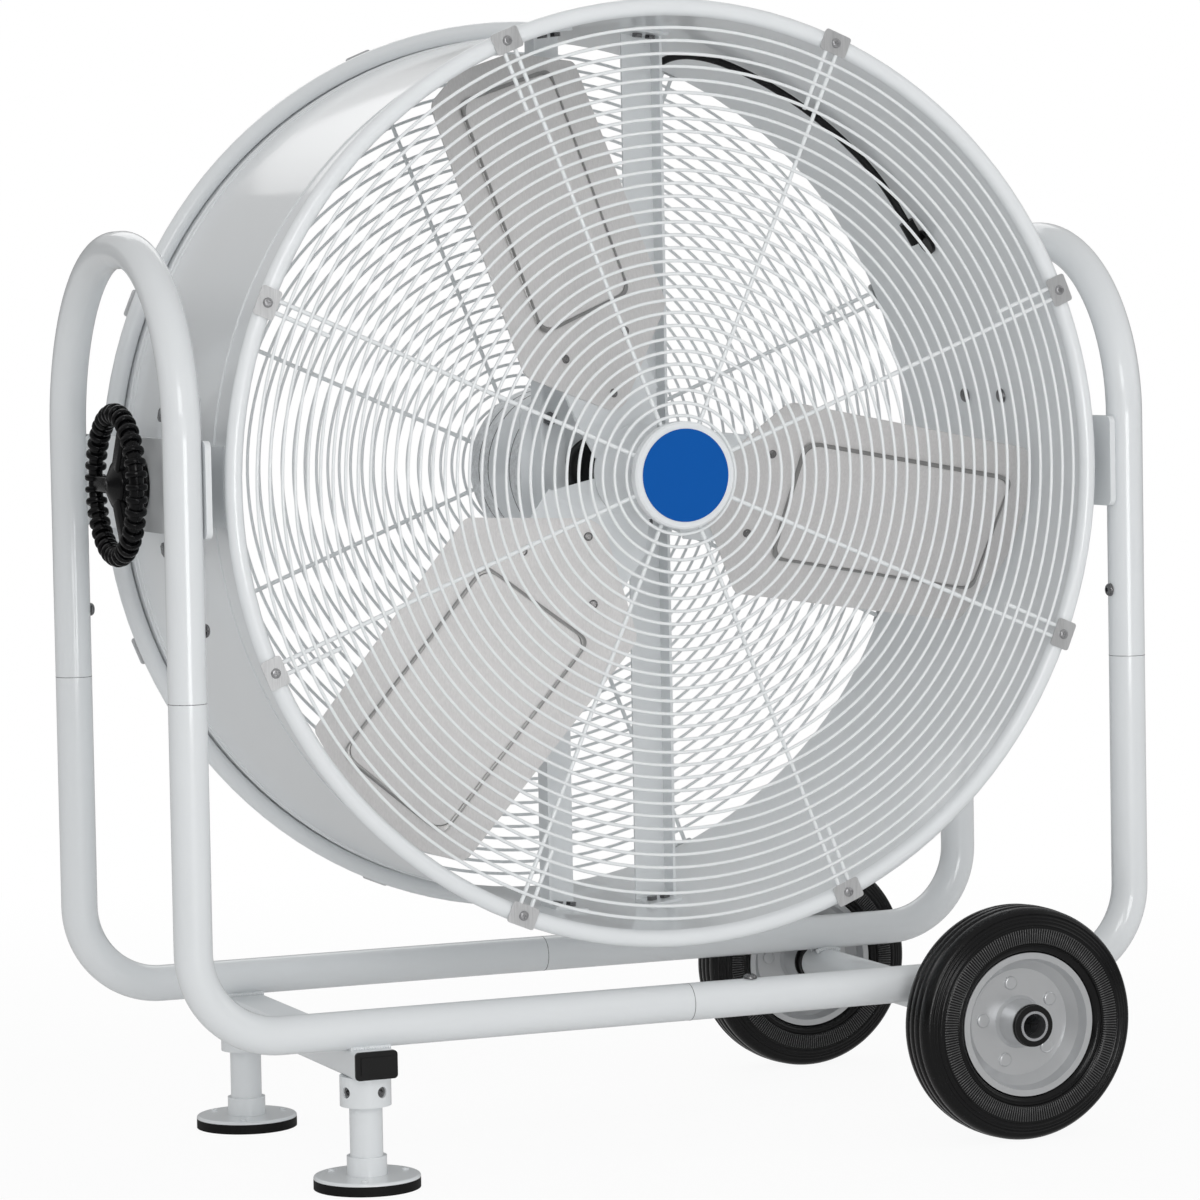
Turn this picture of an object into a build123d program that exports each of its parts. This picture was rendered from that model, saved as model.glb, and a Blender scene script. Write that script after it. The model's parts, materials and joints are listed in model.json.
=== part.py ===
from build123d import *
from math import asin, cos, degrees, pi, radians, sin, sqrt, tan
import os

# Drum fan. X runs to the right seen from the front, Y to the back, Z up from the floor.
axis_height = 698  # drum axis above the floor
shell_r = 463  # inside of the drum's wall
tyre_r = 121.5

# Clearances
seat_gap = 0.05  # between pieces that are fixed to each other
run_gap = 0.05  # radial, round a pin that turns or slides
body_gap = 0.35  # between faces of two moving bodies
hole_gap = 0.3  # radial, round a bolt

# Frame of bent round tube
tube_od = 38.1
tube_wall = 2.0
leg_x = shell_r + 57.5
leg_y = 198
bow_top = axis_height + 236.6
bow_radius = 188
axle_tube_r = tube_od / 2
rail_z = tyre_r + axle_tube_r + seat_gap + tube_od / 2
corner_radius = 88
leg_seam_z = axis_height - 207
rail_seam_x = 5
sleeve_wall = 2.0
sleeve_half = 90
bolt_from_seam = 70
frame_bolt_r = 4
frame_bolt_head_r = 7
frame_bolt_head = 4.4
frame_bolt_length = 16
frame_bolt_socket = 5

# Pivot plates, one welded inside each bow
plate_thick = 6
plate_height = 95
plate_span = 424
plate_round = 8
plate_out_x = leg_x - tube_od / 2 - seat_gap
plate_in_x = plate_out_x - plate_thick

# Foot beam at the left, clamp collars and feet
beam_x = -343
beam_wide = 44
beam_high = 28
beam_wall = 2.5
beam_half = 222
beam_round = 4
beam_top = rail_z - tube_od / 2 - seat_gap
plug_face = 3
plug_insert = 14
plug_panel_inset = 5.5
plug_panel_proud = 1
foot_y = 190
post_r = 16.5
post_top_rise = 6
collar_r = 25.7
collar_high = 30
set_screw_r = 5.5
set_screw_length = 6
set_screw_socket = 5.5
set_screw_turn = 21
pad_r = 53.5
pad_thick = 10
disc_r = pad_r
disc_thick = 3
disc_round = 2.5
stop_r = 20
stop_high = 19
foot_screw_circle = disc_r - 11
foot_screw_r = 2
foot_screw_length = 8
foot_screw_head_r = 3.6
foot_screw_head = 1.6
foot_screw_socket_r = 1.6
foot_screw_socket_deep = 1.2
foot_screw_first = 247

# Wheels, axle tube and axle at the right
wheel_x = 350
wheel_y = 262
tyre_half = 30
axle_z = tyre_r
axle_r = 15.5
axle_bore_r = 12.9
axle_tube_wall = 3
axle_tube_half = 219.5
axle_tube_end = 4
rim_lip_r = tyre_r - 47
rim_lip_half = 24
rim_sheet = 2.4
rim_web_half = 2.5
rim_seat_r = rim_lip_r - 6
hub_tube_r = 22.5
hub_bore_r = 19
hub_half = 30
rim_rivet_circle = 42
rim_rivet_r = 7.2
rim_rivet_high = 2.4
rim_rivets = 5
rim_rivet_first = 102.7
bush_flange_r = 22
bush_flange = 2.2
spacer_r = 20
retainer_r = 21.5
retainer_thick = 3.2
retainer_start = wheel_y + hub_half + seat_gap + bush_flange + body_gap
axle_proud = 1.2
axle_half = retainer_start + retainer_thick + axle_proud

# Drum shell
shell_wall = 1.6
front_bead_y = -204.5
front_bead_section = 8.75
front_bead_r = shell_r + front_bead_section - 0.5
rear_bead_y = 199
rear_bead_section = 10
rear_bead_r = shell_r + rear_bead_section + 1
curl_slit = 1.2
curl_reach = 6
swage_r = 1.5
swage_front_y = -120
swage_rear_y = 165
swage_last_y = 178

# Wire guards
ring_first = 47
ring_pitch = 13
ring_count = int((shell_r - ring_pitch - ring_first) / ring_pitch) + 1
wire_r = 1.6
wire_sides = 8
spoke_r = 2.2
weld_sink = 0.8
spoke_inner = 45
spoke_outer = shell_r
stub_inner = shell_r - 67
stub_offset = 12
clip_count = 8
clip_first = 22.5
clip_wide = 30
clip_deep = 22
clip_thick = 1.5
clip_round = 3
clip_screw_r = 2
clip_screw_head_r = 5
clip_screw_head = 2.8
clip_screw_length = 7
clip_cross = 6
clip_cross_slot = 1.1
clip_cross_deep = 1.2
cap_r = 54.5
cap_front = 9.5
cap_wall = 1.6
cap_round = 2
badge_r = 47
badge_thick = 1.6
badge_proud = 1

# Struts across the drum, one each side of the motor
strut_in_x = 36
strut_out_x = 72.5
strut_sheet = 3
strut_face_y = 5
strut_flange = 26
strut_foot_front = -36
strut_bolt_x = 47
strut_bolt_pitch = 15
strut_bolt_y = -14
strut_bolt_r = 3
strut_bolt_af = 10
strut_bolt_head = 4

# Motor
motor_r = 86
motor_plate_wide = 170
motor_plate_high = 150
motor_plate_thick = 4
motor_plate_round = 22
motor_plate_hole = 36
motor_bolt_x = 54
motor_bolt_z = 55
motor_bolt_r = 4
motor_bolt_af = 13
motor_bolt_head = 5.3
motor_bolt_length = 20
motor_front = strut_face_y + strut_sheet + seat_gap + motor_plate_thick + seat_gap
motor_nose_r = 35
motor_nose_front = -12
bell_step = 40
bell_wall = 6
body_rear = 101
body_wall = 5
motor_rear = 170
bell_round = 16
stator_in_r = 48
stator_front = 46
stator_rear = 96
rotor_r = 47
rotor_front = 48
rotor_rear = 94
shaft_r = 9.5
shaft_front = -113
shaft_rear = 150
bearing_r = 25
bearing_front = 122

# Rotor: pressed spider and three blades
blade_count = 3
blade_turn = 23.8
blade_pitch = 20.3
blade_line_y = -109.5
blade_sheet = 1.6
blade_tip = shell_r - 9
emboss = 2.4
spider_sheet = 3
spider_disc_r = 50
spider_boss_r = 23
spider_boss_rear = -74
arm_start = 34
arm_full = 66
arm_end = 158
arm_start_half = 38
arm_neck_sheet = 2.5
arm_lead = 50
arm_trail = 70
arm_round = 14
rivet_r = 2.5
rivet_head_r = 4.6
rivet_head = 2.2
rivet_tail_r = 4
rivet_tail = 1.5

# Tilt pivots
bracket_out_x = shell_r + 29
bracket_root_x = shell_r - 33
bracket_sheet = 4
bracket_half_z = 45
bracket_half_y = 60
bracket_ear_z = 86
bracket_ear_sheet = 3
doubler_front_y = -160
doubler_sheet = 2.5
doubler_half_z = 40
stud_r = 8
stud_af = 24
stud_head = 10
stud_left_end = leg_x + 6.5
stud_right_end = leg_x + 0.5
washer_r = 22
washer_thick = 2.6
nut_thick = 12
bracket_screw_y = 42
bracket_screw_z = 68
bracket_screw_r = 4
bracket_screw_head_r = 8
bracket_screw_head = 4.5

# Handwheel on the left pivot
grip_x = leg_x + 8
grip_ring_r = 72
grip_section = 7
grip_rib_r = 11
grip_rib_thick = 6.4
grip_ribs = 37
hub_flange_r = 28.5
hub_flange_end = grip_x - 22.5
hub_neck_r = 22.5
hub_neck_start = grip_x - 17.5
hub_crown_start = grip_x + 2.5
hub_crown_end = grip_x + 10.5
hub_crown_r = 9
grip_arms = 3
grip_arm_wide = 18
grip_arm_thick = 11

# Cable inside the drum
cable_r = 4
cable_x = (strut_in_x + strut_out_x) / 2
cable_wall_gap = 1.5
cable_y = 12.8
cable_start_z = 66
cable_start_y = 62
gland_angle = 30.8
gland_flange_r = 14
gland_flange = 4
gland_neck_r = 9
gland_nut_r = 12
gland_nut = 5
gland_elbow_r = 8


def rod(start, way, radius, length):
    """A round bar from a point along a direction."""
    seat = Plane(origin=start, z_dir=way)
    return seat * Cylinder(radius, length, align=(Align.CENTER, Align.CENTER, Align.MIN))


def hexagon(start, way, flats, length):
    """A six-sided head or nut from a point along a direction."""
    seat = Plane(origin=start, z_dir=way)
    outline = RegularPolygon(flats / 2, 6, major_radius=False)
    return extrude(seat * outline, length)


def dome(start, way, radius, height):
    """A round head with a soft edge."""
    head = Cylinder(radius, height, align=(Align.CENTER, Align.CENTER, Align.MIN))
    head = fillet(head.edges().sort_by(Axis.Z)[-1], height - 0.4)
    return Plane(origin=start, z_dir=way) * head


def block(x0, x1, y0, y1, z0, z1):
    """A box between two corners."""
    solid = Box(x1 - x0, y1 - y0, z1 - z0)
    return Pos((x0 + x1) / 2, (y0 + y1) / 2, (z0 + z1) / 2) * solid


def spun(points):
    """A section of radius and depth turned about the drum's own axis."""
    section = make_face(Polyline(*points, close=True))
    return Pos(0, 0, axis_height) * revolve(section, Axis.Y)


def drum_ring(inner, outer, y0, y1):
    """A plain ring about the drum's axis."""
    ring = rod((0, y0, axis_height), (0, 1, 0), outer, y1 - y0)
    return ring - rod((0, y0 - 1, axis_height), (0, 1, 0), inner, y1 - y0 + 2)


def radial(angle):
    """The outward direction at an angle about the drum's axis, seen from the front."""
    return Vector(cos(radians(angle)), 0, sin(radians(angle)))


def tangent(angle):
    """The direction of growing angle about the drum's axis."""
    return Vector(-sin(radians(angle)), 0, cos(radians(angle)))


def on_drum(angle, radius, y):
    """A point at an angle, a radius and a depth in the drum."""
    point = radial(angle) * radius
    return (point.X, y, axis_height + point.Z)


def group(solids):
    """Equal fasteners as one node of separate solids."""
    return Compound(solids)


def bent_tube(points, radius, outer, inner):
    """A round tube with the same bend at every corner of its route."""
    route = FilletPolyline(*points, radius=radius)
    seat = Plane(origin=route @ 0, z_dir=route % 0)
    ring = seat * (Circle(outer) - Circle(inner))
    return sweep(ring, path=route)


def frame_bolt_places():
    """Start point and direction of each joint bolt, from the tube's surface inward."""
    places = []
    for side in (-1, 1):
        for end in (-1, 1):
            start = (side * (leg_x - tube_od / 2), end * leg_y, leg_seam_z + bolt_from_seam)
            places.append((start, (side, 0, 0)))
    for end in (-1, 1):
        start = (rail_seam_x + bolt_from_seam, end * leg_y, rail_z + tube_od / 2)
        places.append((start, (0, 0, -1)))
    return places


def frame_bolt_holes():
    """The drilled way of each joint bolt through the tube and the sleeve in it."""
    holes = []
    for start, way in frame_bolt_places():
        lead = Vector(*start) - Vector(*way) * 2
        holes.append(rod(lead, way, frame_bolt_r + hole_gap, frame_bolt_length + 2))
    return holes


def upper_tube(side):
    """One upside-down U of tube that carries a pivot."""
    low = leg_seam_z + seat_gap
    route = [
        (side * leg_x, -leg_y, low),
        (side * leg_x, -leg_y, bow_top),
        (side * leg_x, leg_y, bow_top),
        (side * leg_x, leg_y, low),
    ]
    bow = bent_tube(route, bow_radius, tube_od / 2, tube_od / 2 - tube_wall)
    for hole in frame_bolt_holes():
        bow = bow - hole
    return bow


def base_tube(side, end):
    """One leg and half of a base rail, bent from one tube."""
    route = [
        (side * leg_x, end * leg_y, leg_seam_z - seat_gap),
        (side * leg_x, end * leg_y, rail_z),
        (rail_seam_x + side * seat_gap, end * leg_y, rail_z),
    ]
    tube = bent_tube(route, corner_radius, tube_od / 2, tube_od / 2 - tube_wall)
    for hole in frame_bolt_holes():
        tube = tube - hole
    return tube


def joint_sleeves():
    """Inner sleeves that join the tubes at their six seams."""
    outer = tube_od / 2 - tube_wall - seat_gap
    sleeves = []
    for side in (-1, 1):
        for end in (-1, 1):
            foot = (side * leg_x, end * leg_y, leg_seam_z - sleeve_half)
            sleeve = rod(foot, (0, 0, 1), outer, 2 * sleeve_half)
            sleeve = sleeve - rod(foot, (0, 0, 1), outer - sleeve_wall, 2 * sleeve_half)
            sleeves.append(sleeve)
    for end in (-1, 1):
        foot = (rail_seam_x - sleeve_half, end * leg_y, rail_z)
        sleeve = rod(foot, (1, 0, 0), outer, 2 * sleeve_half)
        sleeve = sleeve - rod(foot, (1, 0, 0), outer - sleeve_wall, 2 * sleeve_half)
        sleeves.append(sleeve)
    drilled = []
    for sleeve, hole in zip(sleeves, frame_bolt_holes()):
        drilled.append(sleeve - hole)
    return group(drilled)


def frame_bolts():
    """Button head bolts with a hexagon socket, one at each seam."""
    bolts = []
    for start, way in frame_bolt_places():
        way = Vector(*way)
        under = Vector(*start) - way * seat_gap
        top = under - way * frame_bolt_head
        bolt = dome(under, way * -1, frame_bolt_head_r, frame_bolt_head)
        bolt = bolt + rod(under, way, frame_bolt_r, frame_bolt_length)
        bolt = bolt - hexagon(top, way, frame_bolt_socket, 2.5)
        bolts.append(bolt)
    return group(bolts)


def pivot_plate(side):
    """A flat plate across both legs of a bow, with the pivot hole."""
    blank = Box(plate_thick, plate_span, plate_height)
    blank = fillet(blank.edges().filter_by(Axis.X), plate_round)
    middle = side * (plate_in_x + plate_thick / 2)
    blank = Pos(middle, 0, axis_height) * blank
    start = (side * (plate_in_x - 1), 0, axis_height)
    return blank - rod(start, (side, 0, 0), stud_r + run_gap, plate_thick + 2)


def foot_beam():
    """Rectangular tube under both base rails."""
    seat = Plane(origin=(beam_x, -beam_half, beam_top - beam_high / 2), x_dir=(1, 0, 0), z_dir=(0, 1, 0))
    outer = RectangleRounded(beam_wide, beam_high, beam_round)
    inner = RectangleRounded(beam_wide - 2 * beam_wall, beam_high - 2 * beam_wall, beam_round - beam_wall)
    beam = extrude(seat * (outer - inner), 2 * beam_half)
    for end in (-1, 1):
        mouth = (beam_x, end * foot_y, beam_top - beam_high - 1)
        beam = beam - rod(mouth, (0, 0, 1), post_r + hole_gap, beam_wall + 2)
    return beam


def beam_plugs():
    """Plastic plugs in the two ends of the foot beam."""
    plugs = []
    for end in (-1, 1):
        face = Plane(
            origin=(beam_x, end * (beam_half + seat_gap), beam_top - beam_high / 2),
            x_dir=(1, 0, 0),
            z_dir=(0, end, 0),
        )
        cover = extrude(face * RectangleRounded(beam_wide, beam_high, beam_round), plug_face)
        slack = beam_wall + seat_gap
        inner = RectangleRounded(beam_wide - 2 * slack, beam_high - 2 * slack, beam_round - beam_wall)
        step = 2 * plug_panel_inset
        panel = extrude(face * Rectangle(beam_wide - step, beam_high - step), plug_face + plug_panel_proud)
        plugs.append(cover + panel + extrude(face * inner, -plug_insert))
    return group(plugs)


def set_screw_ways():
    """Directions of the two clamp screws of a foot collar."""
    ways = []
    for angle in (270 + set_screw_turn, 180 + set_screw_turn):
        ways.append(Vector(cos(radians(angle)), sin(radians(angle)), 0))
    return ways


def clamp_collars():
    """Collars under the beam that the foot posts slide in."""
    collars = []
    top = beam_top - beam_high - seat_gap
    for end in (-1, 1):
        foot = (beam_x, end * foot_y, top - collar_high)
        collar = rod(foot, (0, 0, 1), collar_r, collar_high)
        collar = collar - rod(foot, (0, 0, 1), post_r + run_gap, collar_high)
        middle = Vector(beam_x, end * foot_y, top - collar_high / 2)
        for way in set_screw_ways():
            collar = collar - rod(middle, way, set_screw_r + run_gap, collar_r + 2)
        collars.append(collar)
    return group(collars)


def clamp_screws():
    """Sunk screws with hexagon sockets, two in each collar."""
    screws = []
    top = beam_top - beam_high - seat_gap
    for end in (-1, 1):
        middle = Vector(beam_x, end * foot_y, top - collar_high / 2)
        for way in set_screw_ways():
            tip = middle + way * (post_r + body_gap)
            screw = rod(tip, way, set_screw_r, set_screw_length)
            mouth = tip + way * (set_screw_length - 2.5)
            screws.append(screw - hexagon(mouth, way, set_screw_socket, 3))
    return group(screws)


def axle_tube():
    """Round tube across under the rails, closed by a drilled disc at each end."""
    start = (wheel_x, -axle_tube_half, axle_z)
    tube = rod(start, (0, 1, 0), axle_tube_r, 2 * axle_tube_half)
    hollow = (wheel_x, -axle_tube_half + axle_tube_end, axle_z)
    tube = tube - rod(hollow, (0, 1, 0), axle_tube_r - axle_tube_wall, 2 * (axle_tube_half - axle_tube_end))
    return tube - rod(start, (0, 1, 0), axle_r + seat_gap, 2 * axle_tube_half)


def axle_shaft():
    """One hollow axle through both wheels."""
    start = (wheel_x, -axle_half, axle_z)
    bar = rod(start, (0, 1, 0), axle_r, 2 * axle_half)
    return bar - rod(start, (0, 1, 0), axle_bore_r, 2 * axle_half)


def axle_retainers():
    """Rings pressed on the axle's ends outside the wheels."""
    rings = []
    for end in (-1, 1):
        start = (wheel_x, end * retainer_start, axle_z)
        ring = rod(start, (0, end, 0), retainer_r, retainer_thick)
        rings.append(ring - rod(start, (0, end, 0), axle_r + seat_gap, retainer_thick))
    return group(rings)


def wheel_spun(points, end):
    """A section of radius and outward depth turned about a wheel's axis."""
    section = make_face(Polyline(*[(r, end * t) for r, t in points], close=True))
    return Pos(wheel_x, end * wheel_y, axle_z) * revolve(section, Axis.Y)


def mirrored(points):
    """A half section and its mirror image across the wheel's middle."""
    return points + [(r, -t) for r, t in reversed(points)]


def tyre(end):
    """Tyre with a hollow inside, grooved tread and two steps on each wall."""
    bead_r = rim_seat_r + rim_sheet + 1
    bead_half = rim_lip_half - rim_sheet - body_gap
    outer = [
        (bead_r, bead_half - 9),
        (bead_r + 0.6, bead_half),
        (rim_lip_r + 0.8, bead_half),
        (rim_lip_r + 1.6, rim_lip_half + 0.6),
        (tyre_r - 38, tyre_half - 2.4),
        (tyre_r - 37.2, tyre_half - 3.4),
        (tyre_r - 33, tyre_half - 1),
        (tyre_r - 25, tyre_half),
        (tyre_r - 17, tyre_half - 1),
        (tyre_r - 16.2, tyre_half - 2),
        (tyre_r - 10, tyre_half - 3),
        (tyre_r - 4, tyre_half - 6.5),
        (tyre_r - 0.8, 18),
        (tyre_r - 0.4, 12.5),
        (tyre_r - 4, 12),
        (tyre_r - 4, 9),
        (tyre_r - 0.2, 8.5),
        (tyre_r, 1.5),
        (tyre_r - 4, 1.2),
    ]
    inner = [
        (tyre_r - 9, 0.4),
        (tyre_r - 9.5, 13),
        (tyre_r - 13, tyre_half - 10),
        (tyre_r - 25, tyre_half - 7),
        (tyre_r - 37, tyre_half - 9),
        (tyre_r - 43, tyre_half - 18),
        (bead_r + 3, bead_half - 12),
    ]
    ring = outer + [(r, -t) for r, t in reversed(outer)]
    ring = ring + [(r, -t) for r, t in reversed(inner)]
    ring = ring + inner
    return wheel_spun(ring, end)


def rim(end):
    """Two pressed halves riveted together, with a flared tube for the bush."""
    half = [
        (hub_bore_r, hub_half),
        (hub_tube_r, hub_half),
        (hub_tube_r + 2, 6),
        (hub_tube_r + 5, rim_web_half),
        (rim_seat_r - 13, rim_web_half),
        (rim_seat_r - 3.5, rim_lip_half / 2),
        (rim_seat_r - 0.4, rim_lip_half),
        (rim_lip_r, rim_lip_half),
        (rim_lip_r, rim_lip_half - rim_sheet),
        (rim_seat_r + rim_sheet, rim_lip_half - rim_sheet),
        (rim_seat_r - 0.6, rim_lip_half / 2 - 0.6),
        (rim_seat_r - 9.2, 0.2),
    ]
    disc = wheel_spun(mirrored(half), end)
    for step in range(rim_rivets):
        turn = radians(rim_rivet_first + step * 360 / rim_rivets)
        x = wheel_x + rim_rivet_circle * cos(turn)
        z = axle_z + rim_rivet_circle * sin(turn)
        for face in (-1, 1):
            seat = (x, end * wheel_y + face * (rim_web_half - 0.2), z)
            disc = disc + dome(seat, (0, face, 0), rim_rivet_r, rim_rivet_high)
    return disc


def bush(end):
    """Plastic bush in the rim's tube, with a spacer toward the frame."""
    inside = -(wheel_y - axle_tube_half - body_gap)
    flange_at = hub_half + seat_gap
    section = [
        (axle_r + run_gap, inside),
        (spacer_r, inside),
        (spacer_r, -flange_at - bush_flange),
        (bush_flange_r, -flange_at - bush_flange),
        (bush_flange_r, -flange_at),
        (hub_bore_r - seat_gap, -flange_at),
        (hub_bore_r - seat_gap, flange_at),
        (bush_flange_r, flange_at),
        (bush_flange_r, flange_at + bush_flange),
        (axle_r + run_gap, flange_at + bush_flange),
    ]
    return wheel_spun(section, end)


def foot_post(end):
    """Round post with its lower collar."""
    low = pad_thick + seat_gap + disc_thick + seat_gap
    top = beam_top - beam_high + post_top_rise
    post = rod((beam_x, end * foot_y, low), (0, 0, 1), post_r, top - low)
    return post + rod((beam_x, end * foot_y, low), (0, 0, 1), stop_r, stop_high)


def foot_screw_places(end):
    """Centres of the three screws of a foot disc."""
    places = []
    for step in range(3):
        turn = radians(foot_screw_first + step * 120)
        x = beam_x + foot_screw_circle * cos(turn)
        y = end * foot_y + foot_screw_circle * sin(turn)
        places.append((x, y))
    return places


def foot_plate(end):
    """Round steel disc with a soft upper edge and three screw holes."""
    low = pad_thick + seat_gap
    disc = rod((beam_x, end * foot_y, low), (0, 0, 1), disc_r, disc_thick)
    disc = fillet(disc.edges().sort_by(Axis.Z)[-1], disc_round)
    for x, y in foot_screw_places(end):
        disc = disc - rod((x, y, low - 1), (0, 0, 1), foot_screw_r + hole_gap, disc_thick + 2)
    return disc


def foot_pad(end):
    """Rubber pad under a foot disc."""
    pad = rod((beam_x, end * foot_y, 0), (0, 0, 1), pad_r, pad_thick)
    for x, y in foot_screw_places(end):
        pad = pad - rod((x, y, 4), (0, 0, 1), foot_screw_r + run_gap, pad_thick)
    return pad


def foot_screws(end):
    """Three pan head screws through a foot disc into its pad."""
    screws = []
    seat = pad_thick + disc_thick + 2 * seat_gap
    for x, y in foot_screw_places(end):
        screw = dome((x, y, seat), (0, 0, 1), foot_screw_head_r, foot_screw_head)
        screw = screw + rod((x, y, seat), (0, 0, -1), foot_screw_r, foot_screw_length)
        mouth = (x, y, seat + foot_screw_head)
        screws.append(screw - rod(mouth, (0, 0, -1), foot_screw_socket_r, foot_screw_socket_deep))
    return group(screws)


def clip_places(front):
    """Seat point, outward depth direction and angle of each guard clip."""
    places = []
    for step in range(clip_count):
        angle = clip_first + step * 360 / clip_count
        if front:
            depth = front_bead_y - front_bead_section
            places.append((on_drum(angle, front_bead_r, depth), -1, angle))
        else:
            depth = rear_bead_y + rear_bead_section
            places.append((on_drum(angle, rear_bead_r, depth), 1, angle))
    return places


def strut_bolt_places():
    """Angle about the axis and side of each strut bolt."""
    places = []
    for side in (-1, 1):
        for x in (strut_bolt_x, strut_bolt_x + strut_bolt_pitch):
            lean = degrees(asin(x / shell_r))
            places.append(90 - side * lean)
            places.append(-90 + side * lean)
    return places


def bracket_screw_places():
    """Angle and depth of each screw of the pivot brackets."""
    lean = degrees(asin(bracket_screw_z / shell_r))
    places = []
    for angle in (lean, -lean, 180 - lean, 180 + lean):
        for depth in (-bracket_screw_y, bracket_screw_y):
            places.append((angle, depth))
    return places


def drum_shell():
    """Rolled wall with an open curled bead at each end and three fine swages."""
    length = rear_bead_y - front_bead_y
    middle = (rear_bead_y + front_bead_y) / 2
    wall = Pos(shell_r + shell_wall / 2, middle) * Rectangle(shell_wall, length)
    for depth in (swage_front_y, swage_rear_y, swage_last_y):
        wall = wall + Pos(shell_r + shell_wall, depth) * Circle(swage_r)
    front = Circle(front_bead_section) - Circle(front_bead_section - shell_wall)
    rear = Circle(rear_bead_section) - Circle(rear_bead_section - shell_wall)
    section = wall + Pos(front_bead_r, front_bead_y) * front
    section = section + Pos(rear_bead_r, rear_bead_y) * rear
    slit_r = shell_r + shell_wall + curl_slit
    section = section - Pos(slit_r, front_bead_y + curl_reach) * Rectangle(curl_slit, curl_reach)
    section = section - Pos(slit_r, rear_bead_y - curl_reach) * Rectangle(curl_slit, curl_reach + 2)
    shell = Pos(0, 0, axis_height) * revolve(section, Axis.Y)
    for angle in strut_bolt_places():
        start = on_drum(angle, shell_r - 5, strut_bolt_y)
        shell = shell - rod(start, radial(angle), strut_bolt_r + hole_gap, 12)
    for angle, depth in bracket_screw_places():
        start = on_drum(angle, shell_r - 5, depth)
        shell = shell - rod(start, radial(angle), bracket_screw_r + hole_gap, 12)
    for seat, way, angle in clip_places(True) + clip_places(False):
        inside = Vector(*seat) + Vector(0, way, 0)
        shell = shell - rod(inside, (0, -way, 0), clip_screw_r + run_gap, 5)
    start = on_drum(gland_angle, shell_r - 5, cable_y)
    return shell - rod(start, radial(gland_angle), gland_neck_r + hole_gap, 12)


def spoke_depth(way):
    """Depth of a guard's spoke centres, just inside the face of the bead."""
    bead_face = front_bead_y - front_bead_section if way < 0 else rear_bead_y + rear_bead_section
    return bead_face - way * (spoke_r + seat_gap)


def wire_ring(radius, depth):
    """One guard ring with a many-sided section."""
    corner = wire_r / cos(pi / wire_sides)
    section = []
    for step in range(wire_sides):
        turn = pi * (2 * step + 1) / wire_sides
        section.append((radius + corner * cos(turn), depth + corner * sin(turn)))
    return spun(section)


def wire_bar(start, angle, length):
    """One straight guard wire along a radius, with the same section as the rings."""
    seat = Plane(origin=start, x_dir=tangent(angle), z_dir=radial(angle))
    section = RegularPolygon(spoke_r, wire_sides, major_radius=False, rotation=180 / wire_sides)
    return extrude(seat * section, length)


def wire_guard(front):
    """Rings of wire on eight spokes, with a short second wire beside each spoke's end."""
    way = -1 if front else 1
    spoke_y = spoke_depth(way)
    ring_y = spoke_y + way * (spoke_r + wire_r - weld_sink)
    wires = []
    for step in range(ring_count):
        wires.append(wire_ring(ring_first + ring_pitch * step, ring_y))
    for step in range(clip_count):
        angle = clip_first + step * 360 / clip_count - degrees(asin(stub_offset / 2 / spoke_outer))
        start = Vector(*on_drum(angle, spoke_inner, spoke_y))
        wires.append(wire_bar(start, angle, spoke_outer - spoke_inner))
        start = Vector(*on_drum(angle, stub_inner, spoke_y)) + tangent(angle) * stub_offset
        wires.append(wire_bar(start, angle, spoke_outer - stub_inner))
    return wires[0].fuse(*wires[1:])


def guard_clips():
    """Rounded steel clips that hold both guards on the drum's beads."""
    clips = []
    for seat, way, angle in clip_places(True) + clip_places(False):
        start = Vector(*seat) + Vector(0, way * seat_gap, 0)
        plane = Plane(origin=start, x_dir=tangent(angle), z_dir=(0, way, 0))
        clip = extrude(plane * RectangleRounded(clip_wide, clip_deep, clip_round), clip_thick)
        clips.append(clip - rod(seat, (0, way, 0), clip_screw_r + hole_gap, 4))
    return group(clips)


def clip_screws():
    """Pan head screws with a cross recess, one in each clip."""
    screws = []
    for seat, way, angle in clip_places(True) + clip_places(False):
        start = Vector(*seat) + Vector(0, way * (clip_thick + 2 * seat_gap), 0)
        screw = dome(start, (0, way, 0), clip_screw_head_r, clip_screw_head)
        screw = screw + rod(start, (0, -way, 0), clip_screw_r, clip_screw_length)
        top = start + Vector(0, way * clip_screw_head, 0)
        plane = Plane(origin=top, x_dir=tangent(angle), z_dir=(0, way, 0))
        slot = Rectangle(clip_cross, clip_cross_slot) + Rectangle(clip_cross_slot, clip_cross)
        screws.append(screw - extrude(plane * slot, -clip_cross_deep))
    return group(screws)


def ring_front():
    """Depth of the foremost line of the front guard's rings."""
    return spoke_depth(-1) - (spoke_r + wire_r - weld_sink) - wire_r


def guard_cap():
    """Shallow pressed cap over the guard's middle; its rim passes between two rings to the spokes."""
    front = ring_front() - seat_gap - cap_front
    back = spoke_depth(-1) - spoke_r - seat_gap
    seat = front + badge_thick - badge_proud
    section = [
        (0, seat),
        (badge_r + seat_gap, seat),
        (badge_r + seat_gap, front),
        (cap_r - cap_round, front),
        (cap_r, front + cap_round),
        (cap_r, back),
        (cap_r - cap_wall, back),
        (cap_r - cap_wall, seat + cap_wall),
        (0, seat + cap_wall),
    ]
    return spun(section)


def centre_disc():
    """Plain round disc in the cap's seat."""
    seat = ring_front() - seat_gap - cap_front + badge_thick - badge_proud - seat_gap
    return rod((0, seat, axis_height), (0, -1, 0), badge_r, badge_thick)


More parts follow.
